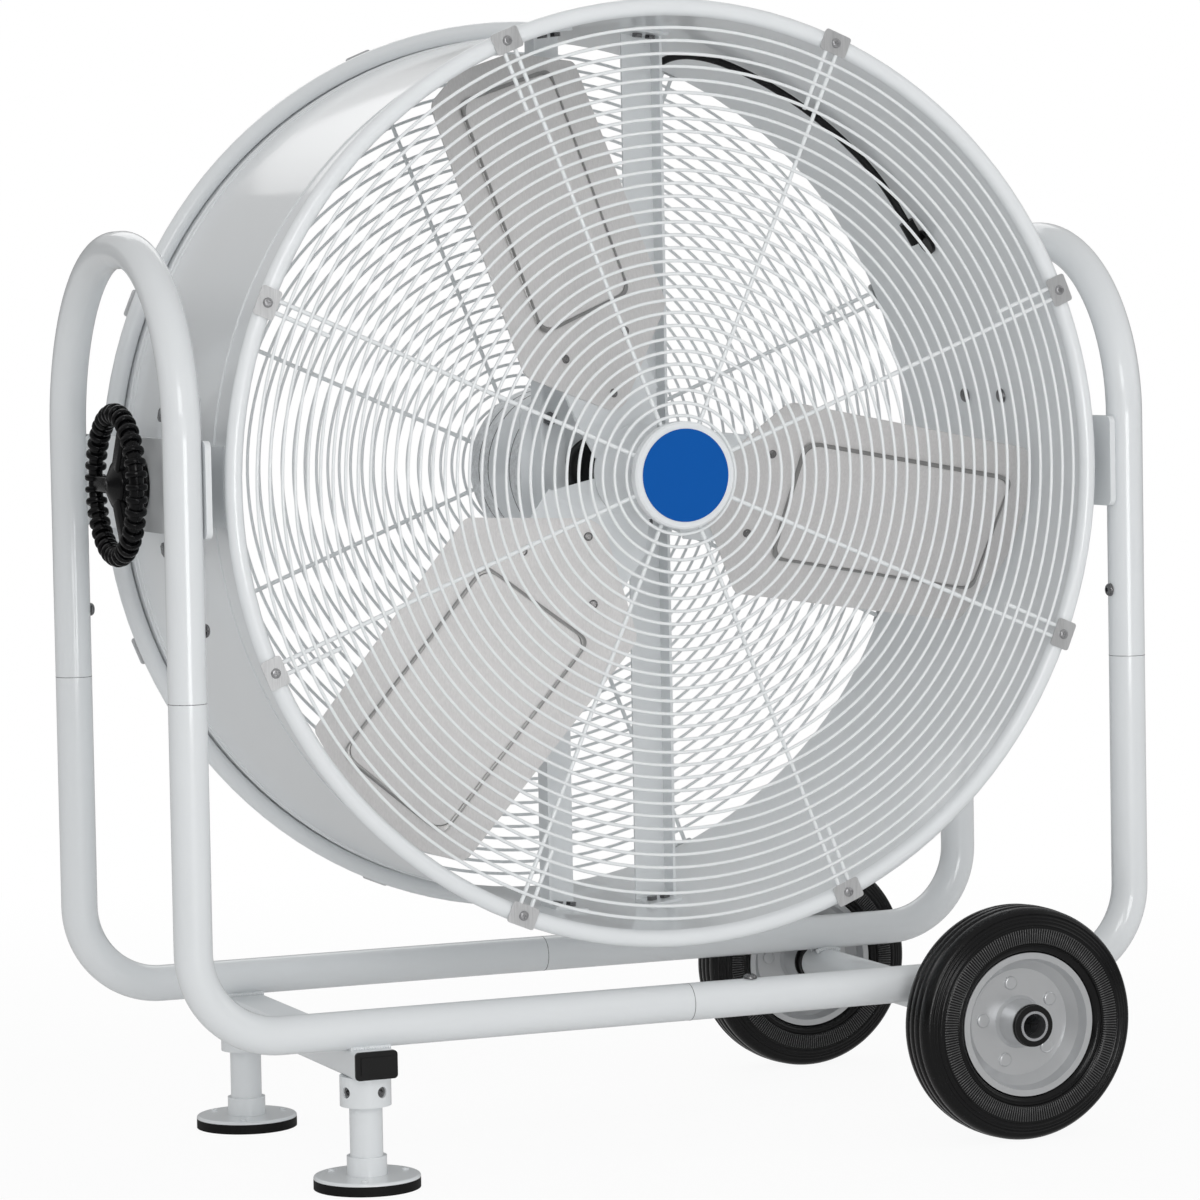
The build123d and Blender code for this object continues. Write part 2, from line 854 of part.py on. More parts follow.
def strut(side):
    """Angle section across the drum, with a bent foot on the wall at each end."""
    half = shell_r - seat_gap
    low = axis_height - shell_r
    high = axis_height + shell_r
    inner = side * strut_in_x
    outer = side * strut_out_x
    lip = side * (strut_out_x - strut_sheet)
    web = block(min(inner, outer), max(inner, outer), strut_face_y, strut_face_y + strut_sheet, low, high)
    flange_front = strut_face_y + strut_sheet - strut_flange
    flange = block(min(lip, outer), max(lip, outer), flange_front, strut_face_y + strut_sheet, low, high)
    angle = web + flange
    bore = rod((0, -100, axis_height), (0, 1, 0), half, 200)
    angle = angle & bore
    foot = drum_ring(half - strut_sheet, half, strut_foot_front, strut_face_y + strut_sheet)
    keep = block(min(inner, outer), max(inner, outer), strut_foot_front, strut_face_y + strut_sheet, low, high)
    angle = angle + (foot & keep)
    for turn in strut_bolt_places():
        start = on_drum(turn, shell_r - 12, strut_bolt_y)
        angle = angle - rod(start, radial(turn), strut_bolt_r + hole_gap, 14)
    for z in (-motor_bolt_z, motor_bolt_z):
        start = (side * motor_bolt_x, strut_face_y - 1, axis_height + z)
        angle = angle - rod(start, (0, 1, 0), motor_bolt_r + hole_gap, strut_sheet + 2)
    return angle


def strut_bolts():
    """Hexagon bolts through the strut feet and the drum wall, with a round nut outside."""
    bolts = []
    for angle in strut_bolt_places():
        inside = shell_r - 2 * seat_gap - strut_sheet - 0.15
        seat = on_drum(angle, inside, strut_bolt_y)
        bolt = hexagon(seat, radial(angle) * -1, strut_bolt_af, strut_bolt_head)
        outside = shell_r + shell_wall + seat_gap
        bolt = bolt + rod(seat, radial(angle), strut_bolt_r, outside - inside + 1)
        crown = on_drum(angle, outside, strut_bolt_y)
        bolts.append(bolt + dome(crown, radial(angle), strut_bolt_af / 2, strut_bolt_head))
    return group(bolts)


def motor_bolt_places():
    """Centres of the four motor bolts, across and up from the axis."""
    places = []
    for x in (-motor_bolt_x, motor_bolt_x):
        for z in (-motor_bolt_z, motor_bolt_z):
            places.append((x, z))
    return places


def motor_plate():
    """Rounded plate between the struts and the motor."""
    front = strut_face_y + strut_sheet + seat_gap
    plate = Box(motor_plate_wide, motor_plate_thick, motor_plate_high)
    plate = fillet(plate.edges().filter_by(Axis.Y), motor_plate_round)
    plate = Pos(0, front + motor_plate_thick / 2, axis_height) * plate
    plate = plate - rod((0, front - 1, axis_height), (0, 1, 0), motor_plate_hole, motor_plate_thick + 2)
    for x, z in motor_bolt_places():
        start = (x, front - 1, axis_height + z)
        plate = plate - rod(start, (0, 1, 0), motor_bolt_r + hole_gap, motor_plate_thick + 2)
    return plate


def motor_front_bell():
    """Front end bell with a nose through the plate and the shaft's bore."""
    bore = shaft_r + run_gap
    section = [
        (bore, motor_nose_front),
        (motor_nose_r - 4, motor_nose_front),
        (motor_nose_r, motor_nose_front + 4),
        (motor_nose_r, motor_front),
        (motor_r - 3, motor_front),
        (motor_r, motor_front + 3),
        (motor_r, bell_step),
        (stator_in_r, bell_step),
        (stator_in_r, motor_front + 18),
        (bore, motor_front + 18),
    ]
    bell = spun(section)
    for x, z in motor_bolt_places():
        start = (x, motor_front - 1, axis_height + z)
        bell = bell - rod(start, (0, 1, 0), motor_bolt_r + run_gap, 18)
    return bell


def motor_body():
    """Rolled motor case between the end bells, with the cable's outlet."""
    case = drum_ring(motor_r - body_wall, motor_r, bell_step + seat_gap, body_rear)
    foot = (cable_x, cable_start_y, axis_height + cable_start_z - 20)
    boss = rod(foot, (0, 0, 1), cable_r + 4, 24)
    core = rod((0, bell_step, axis_height), (0, 1, 0), motor_r - body_wall, body_rear - bell_step)
    case = case + (boss - core)
    return case - rod(foot, (0, 0, 1), cable_r + seat_gap, 40)


def motor_stator():
    """Laminated ring inside the motor case."""
    ring = drum_ring(stator_in_r, motor_r - body_wall - seat_gap, stator_front, stator_rear)
    foot = (cable_x, cable_start_y, axis_height + cable_start_z - 14)
    return ring - rod(foot, (0, 0, 1), cable_r + 1, 40)


def motor_rear_bell():
    """Cast cup that closes the motor at the back and holds the rear bearing."""
    bore = shaft_r + run_gap
    inner = motor_r - bell_wall
    section = [
        (motor_r, body_rear + seat_gap),
        (motor_r, motor_rear - bell_round),
        (motor_r - 5, motor_rear - 6),
        (motor_r - bell_round, motor_rear),
        (0, motor_rear),
        (0, shaft_rear + 2),
        (bore, shaft_rear + 2),
        (bore, bearing_front),
        (bearing_r, bearing_front),
        (bearing_r, motor_rear - bell_wall - 8),
        (inner - 12, motor_rear - bell_wall),
        (inner, motor_rear - bell_round - 2),
        (inner, body_rear + seat_gap),
    ]
    return spun(section)


def motor_bolts():
    """Hexagon bolts through strut and plate into the front end bell."""
    bolts = []
    for x, z in motor_bolt_places():
        seat = (x, strut_face_y - seat_gap, axis_height + z)
        bolt = hexagon(seat, (0, -1, 0), motor_bolt_af, motor_bolt_head)
        bolts.append(bolt + rod(seat, (0, 1, 0), motor_bolt_r, motor_bolt_length))
    return group(bolts)


def cable_route():
    """Up behind the right strut, round under the wall and into the gland."""
    wall_r = shell_r - cable_r - cable_wall_gap
    points = [
        (cable_x, cable_start_y, axis_height + cable_start_z),
        (cable_x, cable_start_y, axis_height + 104),
        (cable_x, cable_y, axis_height + 160),
        (cable_x - 4, cable_y, axis_height + shell_r - 208),
        (cable_x + 3, cable_y, axis_height + shell_r - 118),
        (cable_x, cable_y, axis_height + shell_r - 71),
        (cable_x + 15, cable_y, axis_height + shell_r - 43),
        (cable_x + 46, cable_y, axis_height + shell_r - 25),
    ]
    for angle in (71.5, 64.5, 57.5, 50.5, 43.5):
        points.append(on_drum(angle, wall_r, cable_y))
    points.append(on_drum(38.5, wall_r - 2, cable_y))
    points.append(on_drum(gland_angle + 2.8, wall_r - 5, cable_y))
    return points


def cable_radii(points):
    """Bend radius at each corner of a route, from the shorter run and the turn."""
    radii = []
    for before, corner, after in zip(points, points[1:], points[2:]):
        first = Vector(*corner) - Vector(*before)
        second = Vector(*after) - Vector(*corner)
        turn = radians(first.get_angle(second))
        radii.append(0.45 * min(first.length, second.length) / tan(turn / 2))
    return radii


def motor_cable():
    """Round cable of one length on straight runs and tangent arcs."""
    points = cable_route()
    radii = cable_radii(points)
    print("cable radii", [round(r, 1) for r in radii])
    route = FilletPolyline(*points, radius=radii)
    seat = Plane(origin=route @ 0, z_dir=route % 0)
    cable = sweep(seat * Circle(cable_r), path=route)
    expected = pi * cable_r * cable_r * route.length
    print("cable length", round(route.length, 1), "volume over section times length", cable.volume / expected)
    return cable


def cable_gland():
    """Black elbow gland on the wall that the cable ends in."""
    out = radial(gland_angle)
    seat = on_drum(gland_angle, shell_r - seat_gap - 0.2, cable_y)
    gland = rod(seat, out * -1, gland_flange_r, gland_flange)
    gland = gland + rod(seat, out, gland_neck_r, shell_wall + 6)
    nut = on_drum(gland_angle, shell_r + shell_wall + 0.3, cable_y)
    gland = gland + rod(nut, out, gland_nut_r, gland_nut)
    points = cable_route()
    end = Vector(*points[-1])
    way = (end - Vector(*points[-2])).normalized()
    mouth = end - way * 9
    gland = gland + rod(mouth, way, gland_elbow_r, 26)
    outside = drum_ring(shell_r - seat_gap - 0.2, shell_r + 60, -40, 60)
    elbow_trim = outside - rod(on_drum(gland_angle, shell_r - 20, cable_y), out, gland_neck_r, 60)
    gland = gland - (elbow_trim & rod(end, way, gland_elbow_r + 1, 30))
    return gland - rod(mouth - way, way, cable_r + seat_gap, 10.2)


def pivot_bracket(side):
    """Hat shaped bracket on the drum's side with its ears and forward doubler."""
    wall = shell_r + shell_wall + seat_gap
    web_in = bracket_out_x - bracket_sheet
    x_low = min(side * web_in, side * bracket_out_x)
    x_high = max(side * web_in, side * bracket_out_x)
    z0 = axis_height
    half_y = bracket_half_y
    bracket = block(x_low, x_high, -half_y, half_y, z0 - bracket_half_z, z0 + bracket_half_z)
    reach_low = min(side * bracket_root_x, side * bracket_out_x)
    reach_high = max(side * bracket_root_x, side * bracket_out_x)
    for up in (-1, 1):
        z_low = min(up * (bracket_half_z - bracket_sheet), up * bracket_half_z)
        z_high = max(up * (bracket_half_z - bracket_sheet), up * bracket_half_z)
        bracket = bracket + block(reach_low, reach_high, -half_y, half_y, z0 + z_low, z0 + z_high)
    bracket = bracket - rod((0, -200, z0), (0, 1, 0), wall, 400)
    ear_ring = drum_ring(wall, wall + bracket_ear_sheet, -half_y, half_y)
    for up in (-1, 1):
        z_low = min(up * (bracket_half_z - bracket_sheet), up * bracket_ear_z)
        z_high = max(up * (bracket_half_z - bracket_sheet), up * bracket_ear_z)
        bracket = bracket + (ear_ring & block(reach_low, reach_high, -half_y, half_y, z0 + z_low, z0 + z_high))
    front_ring = drum_ring(wall, wall + doubler_sheet, doubler_front_y, -half_y + bracket_ear_sheet)
    ear_ring = drum_ring(wall, wall + doubler_sheet, -half_y, half_y)
    cover = block(reach_low, reach_high, -half_y, half_y, z0 - bracket_half_z, z0 + bracket_half_z)
    reach = block(reach_low, reach_high, doubler_front_y, half_y, z0 - doubler_half_z, z0 + doubler_half_z)
    bracket = bracket + (front_ring & reach) + (ear_ring & cover)
    reach = swage_r + 2 * seat_gap
    swage = drum_ring(shell_r, shell_r + shell_wall + reach, swage_front_y - reach, swage_front_y + reach)
    bracket = bracket - swage
    for angle, depth in bracket_screw_places():
        start = on_drum(angle, shell_r - 5, depth)
        bracket = bracket - rod(start, radial(angle), bracket_screw_r + hole_gap, 20)
    return bracket - rod((side * (bracket_out_x - 12), 0, z0), (side, 0, 0), stud_r + hole_gap, 30)


def bracket_screws():
    """Round head screws through the drum wall and the bracket ears, with nuts outside."""
    screws = []
    for angle, depth in bracket_screw_places():
        out = radial(angle)
        inside = on_drum(angle, shell_r - 0.3, depth)
        screw = dome(inside, out * -1, bracket_screw_head_r, bracket_screw_head)
        ear_out = shell_r + shell_wall + seat_gap + bracket_ear_sheet
        screw = screw + rod(inside, out, bracket_screw_r, ear_out - shell_r + 6)
        nut = on_drum(angle, ear_out + seat_gap, depth)
        screws.append(screw + hexagon(nut, out, 13, 5.5))
    return group(screws)


def pivot_studs():
    """Studs that the drum hangs on, their washers and the right-hand nut."""
    pieces = []
    head_x = bracket_out_x - bracket_sheet - seat_gap
    washer_x = bracket_out_x + seat_gap
    for side, end_x in ((-1, stud_left_end), (1, stud_right_end)):
        way = (side, 0, 0)
        stud = rod((side * head_x, 0, axis_height), way, stud_r, end_x - head_x)
        stud = stud + hexagon((side * head_x, 0, axis_height), (-side, 0, 0), stud_af, stud_head)
        washer = rod((side * washer_x, 0, axis_height), way, washer_r, washer_thick)
        washer = washer - rod((side * washer_x, 0, axis_height), way, stud_r + seat_gap, washer_thick)
        pieces.append(stud)
        pieces.append(washer)
    nut_x = plate_out_x + body_gap
    nut = hexagon((nut_x, 0, axis_height), (1, 0, 0), stud_af, nut_thick)
    pieces.append(nut - rod((nut_x, 0, axis_height), (1, 0, 0), stud_r + seat_gap, nut_thick))
    return group(pieces)


def handwheel():
    """Ribbed ring on three arms round a flanged hub, threaded on the left stud."""
    face = plate_out_x + body_gap
    section = [
        (stud_r + run_gap, face),
        (hub_flange_r, face),
        (hub_flange_r, hub_flange_end - 2),
        (hub_flange_r - 2, hub_flange_end),
        (hub_neck_r, hub_neck_start),
        (hub_neck_r, hub_crown_start - 3),
        (hub_neck_r - 3, hub_crown_start),
        (hub_crown_r, hub_crown_end),
        (0, hub_crown_end),
        (0, stud_left_end + 1),
        (stud_r + run_gap, stud_left_end + 1),
    ]
    hub = revolve(make_face(Polyline(*section, close=True)), Axis.Y)
    hub = Rot(0, 0, 90) * hub
    parts = [Pos(0, 0, axis_height) * hub]
    ring = Torus(grip_ring_r, grip_section)
    parts.append(Pos(-grip_x, 0, axis_height) * Rot(0, 90, 0) * ring)
    for step in range(grip_arms):
        turn = radians(step * 360 / grip_arms)
        way = Vector(0, cos(turn), sin(turn))
        start = Vector(-grip_x + 6, 0, axis_height) + way * (hub_neck_r - 4)
        plane = Plane(origin=start, x_dir=(1, 0, 0), z_dir=way)
        arm = RectangleRounded(grip_arm_thick, grip_arm_wide, 4)
        parts.append(extrude(plane * arm, grip_ring_r - hub_neck_r))
    for step in range(grip_ribs):
        turn = radians((step + 0.5) * 360 / grip_ribs)
        out = Vector(0, cos(turn), sin(turn))
        along = Vector(0, -sin(turn), cos(turn))
        middle = Vector(-grip_x, 0, axis_height) + out * grip_ring_r
        parts.append(rod(middle - along * (grip_rib_thick / 2), along, grip_rib_r, grip_rib_thick))
    return parts[0].fuse(*parts[1:])


def motor_shaft():
    """Shaft with the rotor core of the motor."""
    length = shaft_rear - shaft_front
    shaft = rod((0, shaft_front, axis_height), (0, 1, 0), shaft_r, length)
    return shaft + rod((0, rotor_front, axis_height), (0, 1, 0), rotor_r, rotor_rear - rotor_front)


def blade_turns():
    """Turn of each blade about the axis from straight up."""
    return [-(blade_turn - step * 360 / blade_count) for step in range(blade_count)]


def about_axis(shape, turn):
    """A shape built pointing straight up, turned about the drum's axis."""
    return Pos(0, 0, axis_height) * Rot(0, turn, 0) * shape


def blade_plane(shift):
    """The pitched plane of a blade's front face, or one parallel to it."""
    lean = radians(blade_pitch)
    normal = Vector(sin(lean), -cos(lean), 0)
    origin = Vector(0, blade_line_y, 0) + normal * shift
    return Plane(origin=origin, x_dir=(0, 0, 1), z_dir=normal)


def blade_outline(inset):
    """Outline of the raised panel of a blade, shrunk by an inset."""
    points = [
        (172 + inset, -80 + inset),
        (180 + inset, 47 - inset),
        (blade_tip - 30 - inset, 27 - inset),
        (blade_tip - 44 - inset, -98 + inset),
    ]
    return make_face(FilletPolyline(*points, radius=14 - inset, close=True))


def rivet_places():
    """Rivet centres in the blade's plane: out from the axis and toward the leading edge."""
    return [(142.9, 32.6), (86.2, -9.2), (135.9, -57.3)]


def blade(turn):
    """Flat pitched sheet with a raised panel and three rivet holes."""
    root_nose = (62.5, -7.7)
    root_lead = (148.7, 91.5)
    root_trail = (138.7, -126)
    tip_lead = (blade_tip - 16, 64)
    tip_crown = (blade_tip, 15)
    tip_low = (blade_tip - 8, -62)
    tip_trail = (blade_tip - 47, -138.5)
    corners = [root_nose, root_lead, tip_lead, tip_crown, tip_low, tip_trail, root_trail]
    rounds = [28, 20, 14, 70, 90, 10, 12]
    outline = make_face(FilletPolyline(*corners, radius=rounds, close=True))
    sheet = extrude(blade_plane(0) * outline, -blade_sheet)
    sheet = sheet + extrude(blade_plane(-blade_sheet) * blade_outline(0), blade_sheet + emboss)
    sheet = sheet - extrude(blade_plane(-blade_sheet) * blade_outline(blade_sheet), emboss)
    for a, c in rivet_places():
        spot = blade_plane(4).from_local_coords((a, c, 0))
        sheet = sheet - rod(spot, blade_plane(0).z_dir * -1, rivet_r + hole_gap, 12)
    return about_axis(sheet, turn)


def blade_rivets():
    """Dome head rivets, three for each blade."""
    rivets = []
    for turn in blade_turns():
        for a, c in rivet_places():
            plane = blade_plane(seat_gap)
            seat = plane.from_local_coords((a, c, 0))
            stack = blade_sheet + spider_sheet + 3 * seat_gap
            rivet = dome(seat, plane.z_dir, rivet_head_r, rivet_head)
            rivet = rivet + rod(seat, plane.z_dir * -1, rivet_r, stack + 0.5)
            tail = seat - plane.z_dir * stack
            rivet = rivet + rod(tail, plane.z_dir * -1, rivet_tail_r, rivet_tail)
            rivets.append(about_axis(rivet, turn))
    return group(rivets)


def fan_spider():
    """Pressed plate with three pitched arms and a boss clamped on the shaft."""
    face = blade_line_y + (blade_sheet + seat_gap) / cos(radians(blade_pitch))
    disc = Pos(0, face, 0) * Rot(-90, 0, 0) * Cylinder(
        spider_disc_r, spider_sheet, align=(Align.CENTER, Align.CENTER, Align.MIN)
    )
    boss = rod((0, face + 1, 0), (0, 1, 0), spider_boss_r, spider_boss_rear - face - 1)
    parts = [Pos(0, 0, axis_height) * disc, Pos(0, 0, axis_height) * boss]
    back = blade_plane(-blade_sheet - seat_gap)
    for turn in blade_turns():
        flat = Plane(origin=(0, face + spider_sheet / 2, arm_start), x_dir=(-1, 0, 0), z_dir=(0, 0, 1))
        start = flat * Rectangle(2 * arm_start_half, arm_neck_sheet)
        middle = back.from_local_coords((arm_full + 2, (arm_lead - arm_trail) / 2, -spider_sheet / 2))
        pitched = Plane(origin=middle, x_dir=back.y_dir, z_dir=(0, 0, 1))
        end = pitched * Rectangle(arm_lead + arm_trail - 2, arm_neck_sheet)
        neck = loft([start, end], ruled=True)
        middle_a = (arm_full + arm_end) / 2
        pad = RectangleRounded(arm_end - arm_full + 2 * arm_round, arm_lead + arm_trail, arm_round)
        pad = Pos(middle_a - arm_round, (arm_lead - arm_trail) / 2) * pad
        trim = Pos(arm_full - 50, 0) * Rectangle(100, 300)
        arm = extrude(back * (pad - trim), -spider_sheet)
        for a, c in rivet_places():
            spot = blade_plane(4).from_local_coords((a, c, 0))
            arm = arm - rod(spot, back.z_dir * -1, rivet_r + hole_gap, 14)
        parts.append(about_axis(neck, turn))
        parts.append(about_axis(arm, turn))
    spider = parts[0]
    for piece in parts[1:]:
        spider = spider + piece
    return spider - rod((0, shaft_front - 5, axis_height), (0, 1, 0), shaft_r + seat_gap, 60)


def all_nodes():
    """Every node of the object by name."""
    nodes = {
        "left_upper_tube": upper_tube(-1),
        "right_upper_tube": upper_tube(1),
        "front_left_base_tube": base_tube(-1, -1),
        "front_right_base_tube": base_tube(1, -1),
        "rear_left_base_tube": base_tube(-1, 1),
        "rear_right_base_tube": base_tube(1, 1),
        "joint_sleeves": joint_sleeves(),
        "frame_bolts": frame_bolts(),
        "left_pivot_plate": pivot_plate(-1),
        "right_pivot_plate": pivot_plate(1),
        "foot_beam": foot_beam(),
        "foot_beam_plugs": beam_plugs(),
        "foot_clamp_collars": clamp_collars(),
        "clamp_set_screws": clamp_screws(),
        "axle_tube": axle_tube(),
        "axle_shaft": axle_shaft(),
        "axle_retainers": axle_retainers(),
        "drum_shell": drum_shell(),
        "front_guard": wire_guard(True),
        "rear_guard": wire_guard(False),
        "guard_clips": guard_clips(),
        "guard_clip_screws": clip_screws(),
        "guard_cap": guard_cap(),
        "centre_disc": centre_disc(),
        "left_strut": strut(-1),
        "right_strut": strut(1),
        "strut_bolts": strut_bolts(),
        "motor_plate": motor_plate(),
        "motor_front_bell": motor_front_bell(),
        "motor_body": motor_body(),
        "motor_stator": motor_stator(),
        "motor_rear_bell": motor_rear_bell(),
        "motor_bolts": motor_bolts(),
        "motor_cable": motor_cable(),
        "cable_gland": cable_gland(),
        "left_pivot_bracket": pivot_bracket(-1),
        "right_pivot_bracket": pivot_bracket(1),
        "bracket_screws": bracket_screws(),
        "pivot_studs": pivot_studs(),
        "handwheel": handwheel(),
        "motor_shaft": motor_shaft(),
        "fan_spider": fan_spider(),
        "blade_rivets": blade_rivets(),
    }
    for number, turn in enumerate(blade_turns()):
        nodes[f"blade_{number + 1}"] = blade(turn)
    for name, end in (("front", -1), ("rear", 1)):
        nodes[f"{name}_wheel_tyre"] = tyre(end)
        nodes[f"{name}_wheel_rim"] = rim(end)
        nodes[f"{name}_wheel_bush"] = bush(end)
        nodes[f"{name}_foot_post"] = foot_post(end)
        nodes[f"{name}_foot_plate"] = foot_plate(end)
        nodes[f"{name}_foot_pad"] = foot_pad(end)
        nodes[f"{name}_foot_screws"] = foot_screws(end)
    return nodes


os.makedirs("parts", exist_ok=True)
for name, shape in all_nodes().items():
    export_step(shape, f"parts/{name}.step")
    print(name, round(shape.volume / 1000, 2), "cm3", len(shape.solids()), "solids")
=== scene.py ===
import json
import math

import bmesh
import bpy
from mathutils import Matrix, Vector


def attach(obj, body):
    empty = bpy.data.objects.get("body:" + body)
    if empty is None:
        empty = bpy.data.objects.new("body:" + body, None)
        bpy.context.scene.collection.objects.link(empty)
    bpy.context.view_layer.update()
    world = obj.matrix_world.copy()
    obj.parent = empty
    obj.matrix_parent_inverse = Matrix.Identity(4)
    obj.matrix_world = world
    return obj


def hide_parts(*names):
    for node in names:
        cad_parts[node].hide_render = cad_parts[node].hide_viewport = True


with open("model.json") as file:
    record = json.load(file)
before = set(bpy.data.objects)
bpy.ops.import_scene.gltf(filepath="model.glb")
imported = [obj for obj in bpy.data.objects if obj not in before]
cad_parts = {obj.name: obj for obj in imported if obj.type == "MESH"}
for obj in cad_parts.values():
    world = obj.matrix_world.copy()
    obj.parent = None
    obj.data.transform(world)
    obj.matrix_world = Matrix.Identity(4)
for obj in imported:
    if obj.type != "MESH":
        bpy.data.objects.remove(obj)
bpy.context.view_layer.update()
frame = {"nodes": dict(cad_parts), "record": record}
cadNodes = frame["nodes"]
print("stage: frame loaded")

axisHeight = 0.698  # drum axis above the floor
tau = math.tau


# helpers for shader and geometry trees

def socketOf(sockets, name):
    # a Mix node keeps hidden sockets of the same name
    return next(socket for socket in sockets if socket.name == name and socket.enabled)


def addNode(tree, kind, given=None, **settings):
    node = tree.nodes.new(kind)
    for name, value in settings.items():
        setattr(node, name, value)
    for name, value in (given or {}).items():
        socket = node.inputs[name] if isinstance(name, int) else socketOf(node.inputs, name)
        if isinstance(value, bpy.types.NodeSocket):
            tree.links.new(value, socket)
        else:
            socket.default_value = value
    return node


def calc(tree, operation, *values):
    return addNode(tree, "ShaderNodeMath", dict(enumerate(values)), operation=operation).outputs[0]


def newGroup(name, inputs, outputs, kind="ShaderNodeTree"):
    tree = bpy.data.node_groups.new(name, kind)
    for label, socketType, value in inputs:
        socket = tree.interface.new_socket(
            name=label, in_out="INPUT", socket_type="NodeSocket" + socketType)
        if value is not None:
            socket.default_value = value
    for label, socketType in outputs:
        tree.interface.new_socket(name=label, in_out="OUTPUT", socket_type="NodeSocket" + socketType)
    return tree, addNode(tree, "NodeGroupInput").outputs, addNode(tree, "NodeGroupOutput").inputs


# shared surface effect: a tone round 1, a roughness and a height

def buildGrain():
    tree, given, made = newGroup(
        "surfaceGrain",
        [("Vector", "Vector", None), ("Broad Scale", "Float", 8.0), ("Fine Scale", "Float", 600.0),
         ("Tone Depth", "Float", 0.05), ("Fine Tone", "Float", 0.0), ("Roughness", "Float", 0.3),
         ("Roughness Depth", "Float", 0.05)],
        [("Tone", "Float"), ("Roughness", "Float"), ("Height", "Float")])
    broad = addNode(tree, "ShaderNodeTexNoise", {
        "Vector": given["Vector"], "Scale": given["Broad Scale"], "Detail": 4.0})
    fine = addNode(tree, "ShaderNodeTexNoise", {
        "Vector": given["Vector"], "Scale": given["Fine Scale"], "Detail": 2.0})
    swing = calc(tree, "SUBTRACT", broad.outputs["Fac"], 0.5)
    fineSwing = calc(tree, "SUBTRACT", fine.outputs["Fac"], 0.5)
    tone = calc(tree, "MULTIPLY_ADD", swing, given["Tone Depth"], 1.0)
    tone = calc(tree, "MULTIPLY_ADD", fineSwing, given["Fine Tone"], tone)
    rough = calc(tree, "MULTIPLY_ADD", swing, given["Roughness Depth"], given["Roughness"])
    tree.links.new(tone, made["Tone"])
    tree.links.new(rough, made["Roughness"])
    tree.links.new(fine.outputs["Fac"], made["Height"])
    return tree


surfaceGrain = buildGrain()
# painted shade: the blades' finish darkens towards their curved tips
tipShadeReach = {"start": 0.31, "end": 0.45}  # where a turning part begins to darken, and where it is darkest


def finish(name, colour, stretch=(1, 1, 1), bump=0.1, bumpSize=0.0004, metallic=0.0, coat=0.0,
           coatRoughness=0.06, specular=0.5, tipShade=1.0, **grain):
    material = bpy.data.materials.new(name)
    material.use_nodes = True
    tree = material.node_tree
    shader = tree.nodes["Principled BSDF"]
    place = addNode(tree, "ShaderNodeTexCoord")
    turned = addNode(tree, "ShaderNodeMapping", {"Vector": place.outputs["Object"], "Scale": stretch})
    work = addNode(tree, "ShaderNodeGroup", node_tree=surfaceGrain)
    tree.links.new(turned.outputs["Vector"], work.inputs["Vector"])
    for label, value in grain.items():
        work.inputs[label.replace("_", " ")].default_value = value
    tone = work.outputs["Tone"]
    if tipShade != 1.0:
        # painted shade: darker towards the outer end of a part that turns about the drum's axis, for the
        # shade on the blades' curved tips
        arm = addNode(tree, "ShaderNodeVectorMath", {0: place.outputs["Object"], 1: (0, 0, axisHeight)},
                      operation="SUBTRACT").outputs[0]
        reach = addNode(tree, "ShaderNodeVectorMath", {0: arm}, operation="LENGTH").outputs["Value"]
        fade = addNode(tree, "ShaderNodeMapRange", {
            "Value": reach, "From Min": tipShadeReach["start"], "From Max": tipShadeReach["end"], "To Min": 1.0,
            "To Max": tipShade}).outputs["Result"]
        tone = calc(tree, "MULTIPLY", tone, fade)
    tint = addNode(tree, "ShaderNodeVectorMath", {0: colour, "Scale": tone}, operation="SCALE")
    relief = addNode(tree, "ShaderNodeBump", {
        "Strength": bump, "Distance": bumpSize, "Height": work.outputs["Height"]})
    tree.links.new(tint.outputs["Vector"], shader.inputs["Base Color"])
    tree.links.new(work.outputs["Roughness"], shader.inputs["Roughness"])
    tree.links.new(relief.outputs["Normal"], shader.inputs["Normal"])
    shader.inputs["Metallic"].default_value = metallic
    shader.inputs["Coat Weight"].default_value = coat
    shader.inputs["Coat Roughness"].default_value = coatRoughness
    shader.inputs["Specular IOR Level"].default_value = specular
    return material


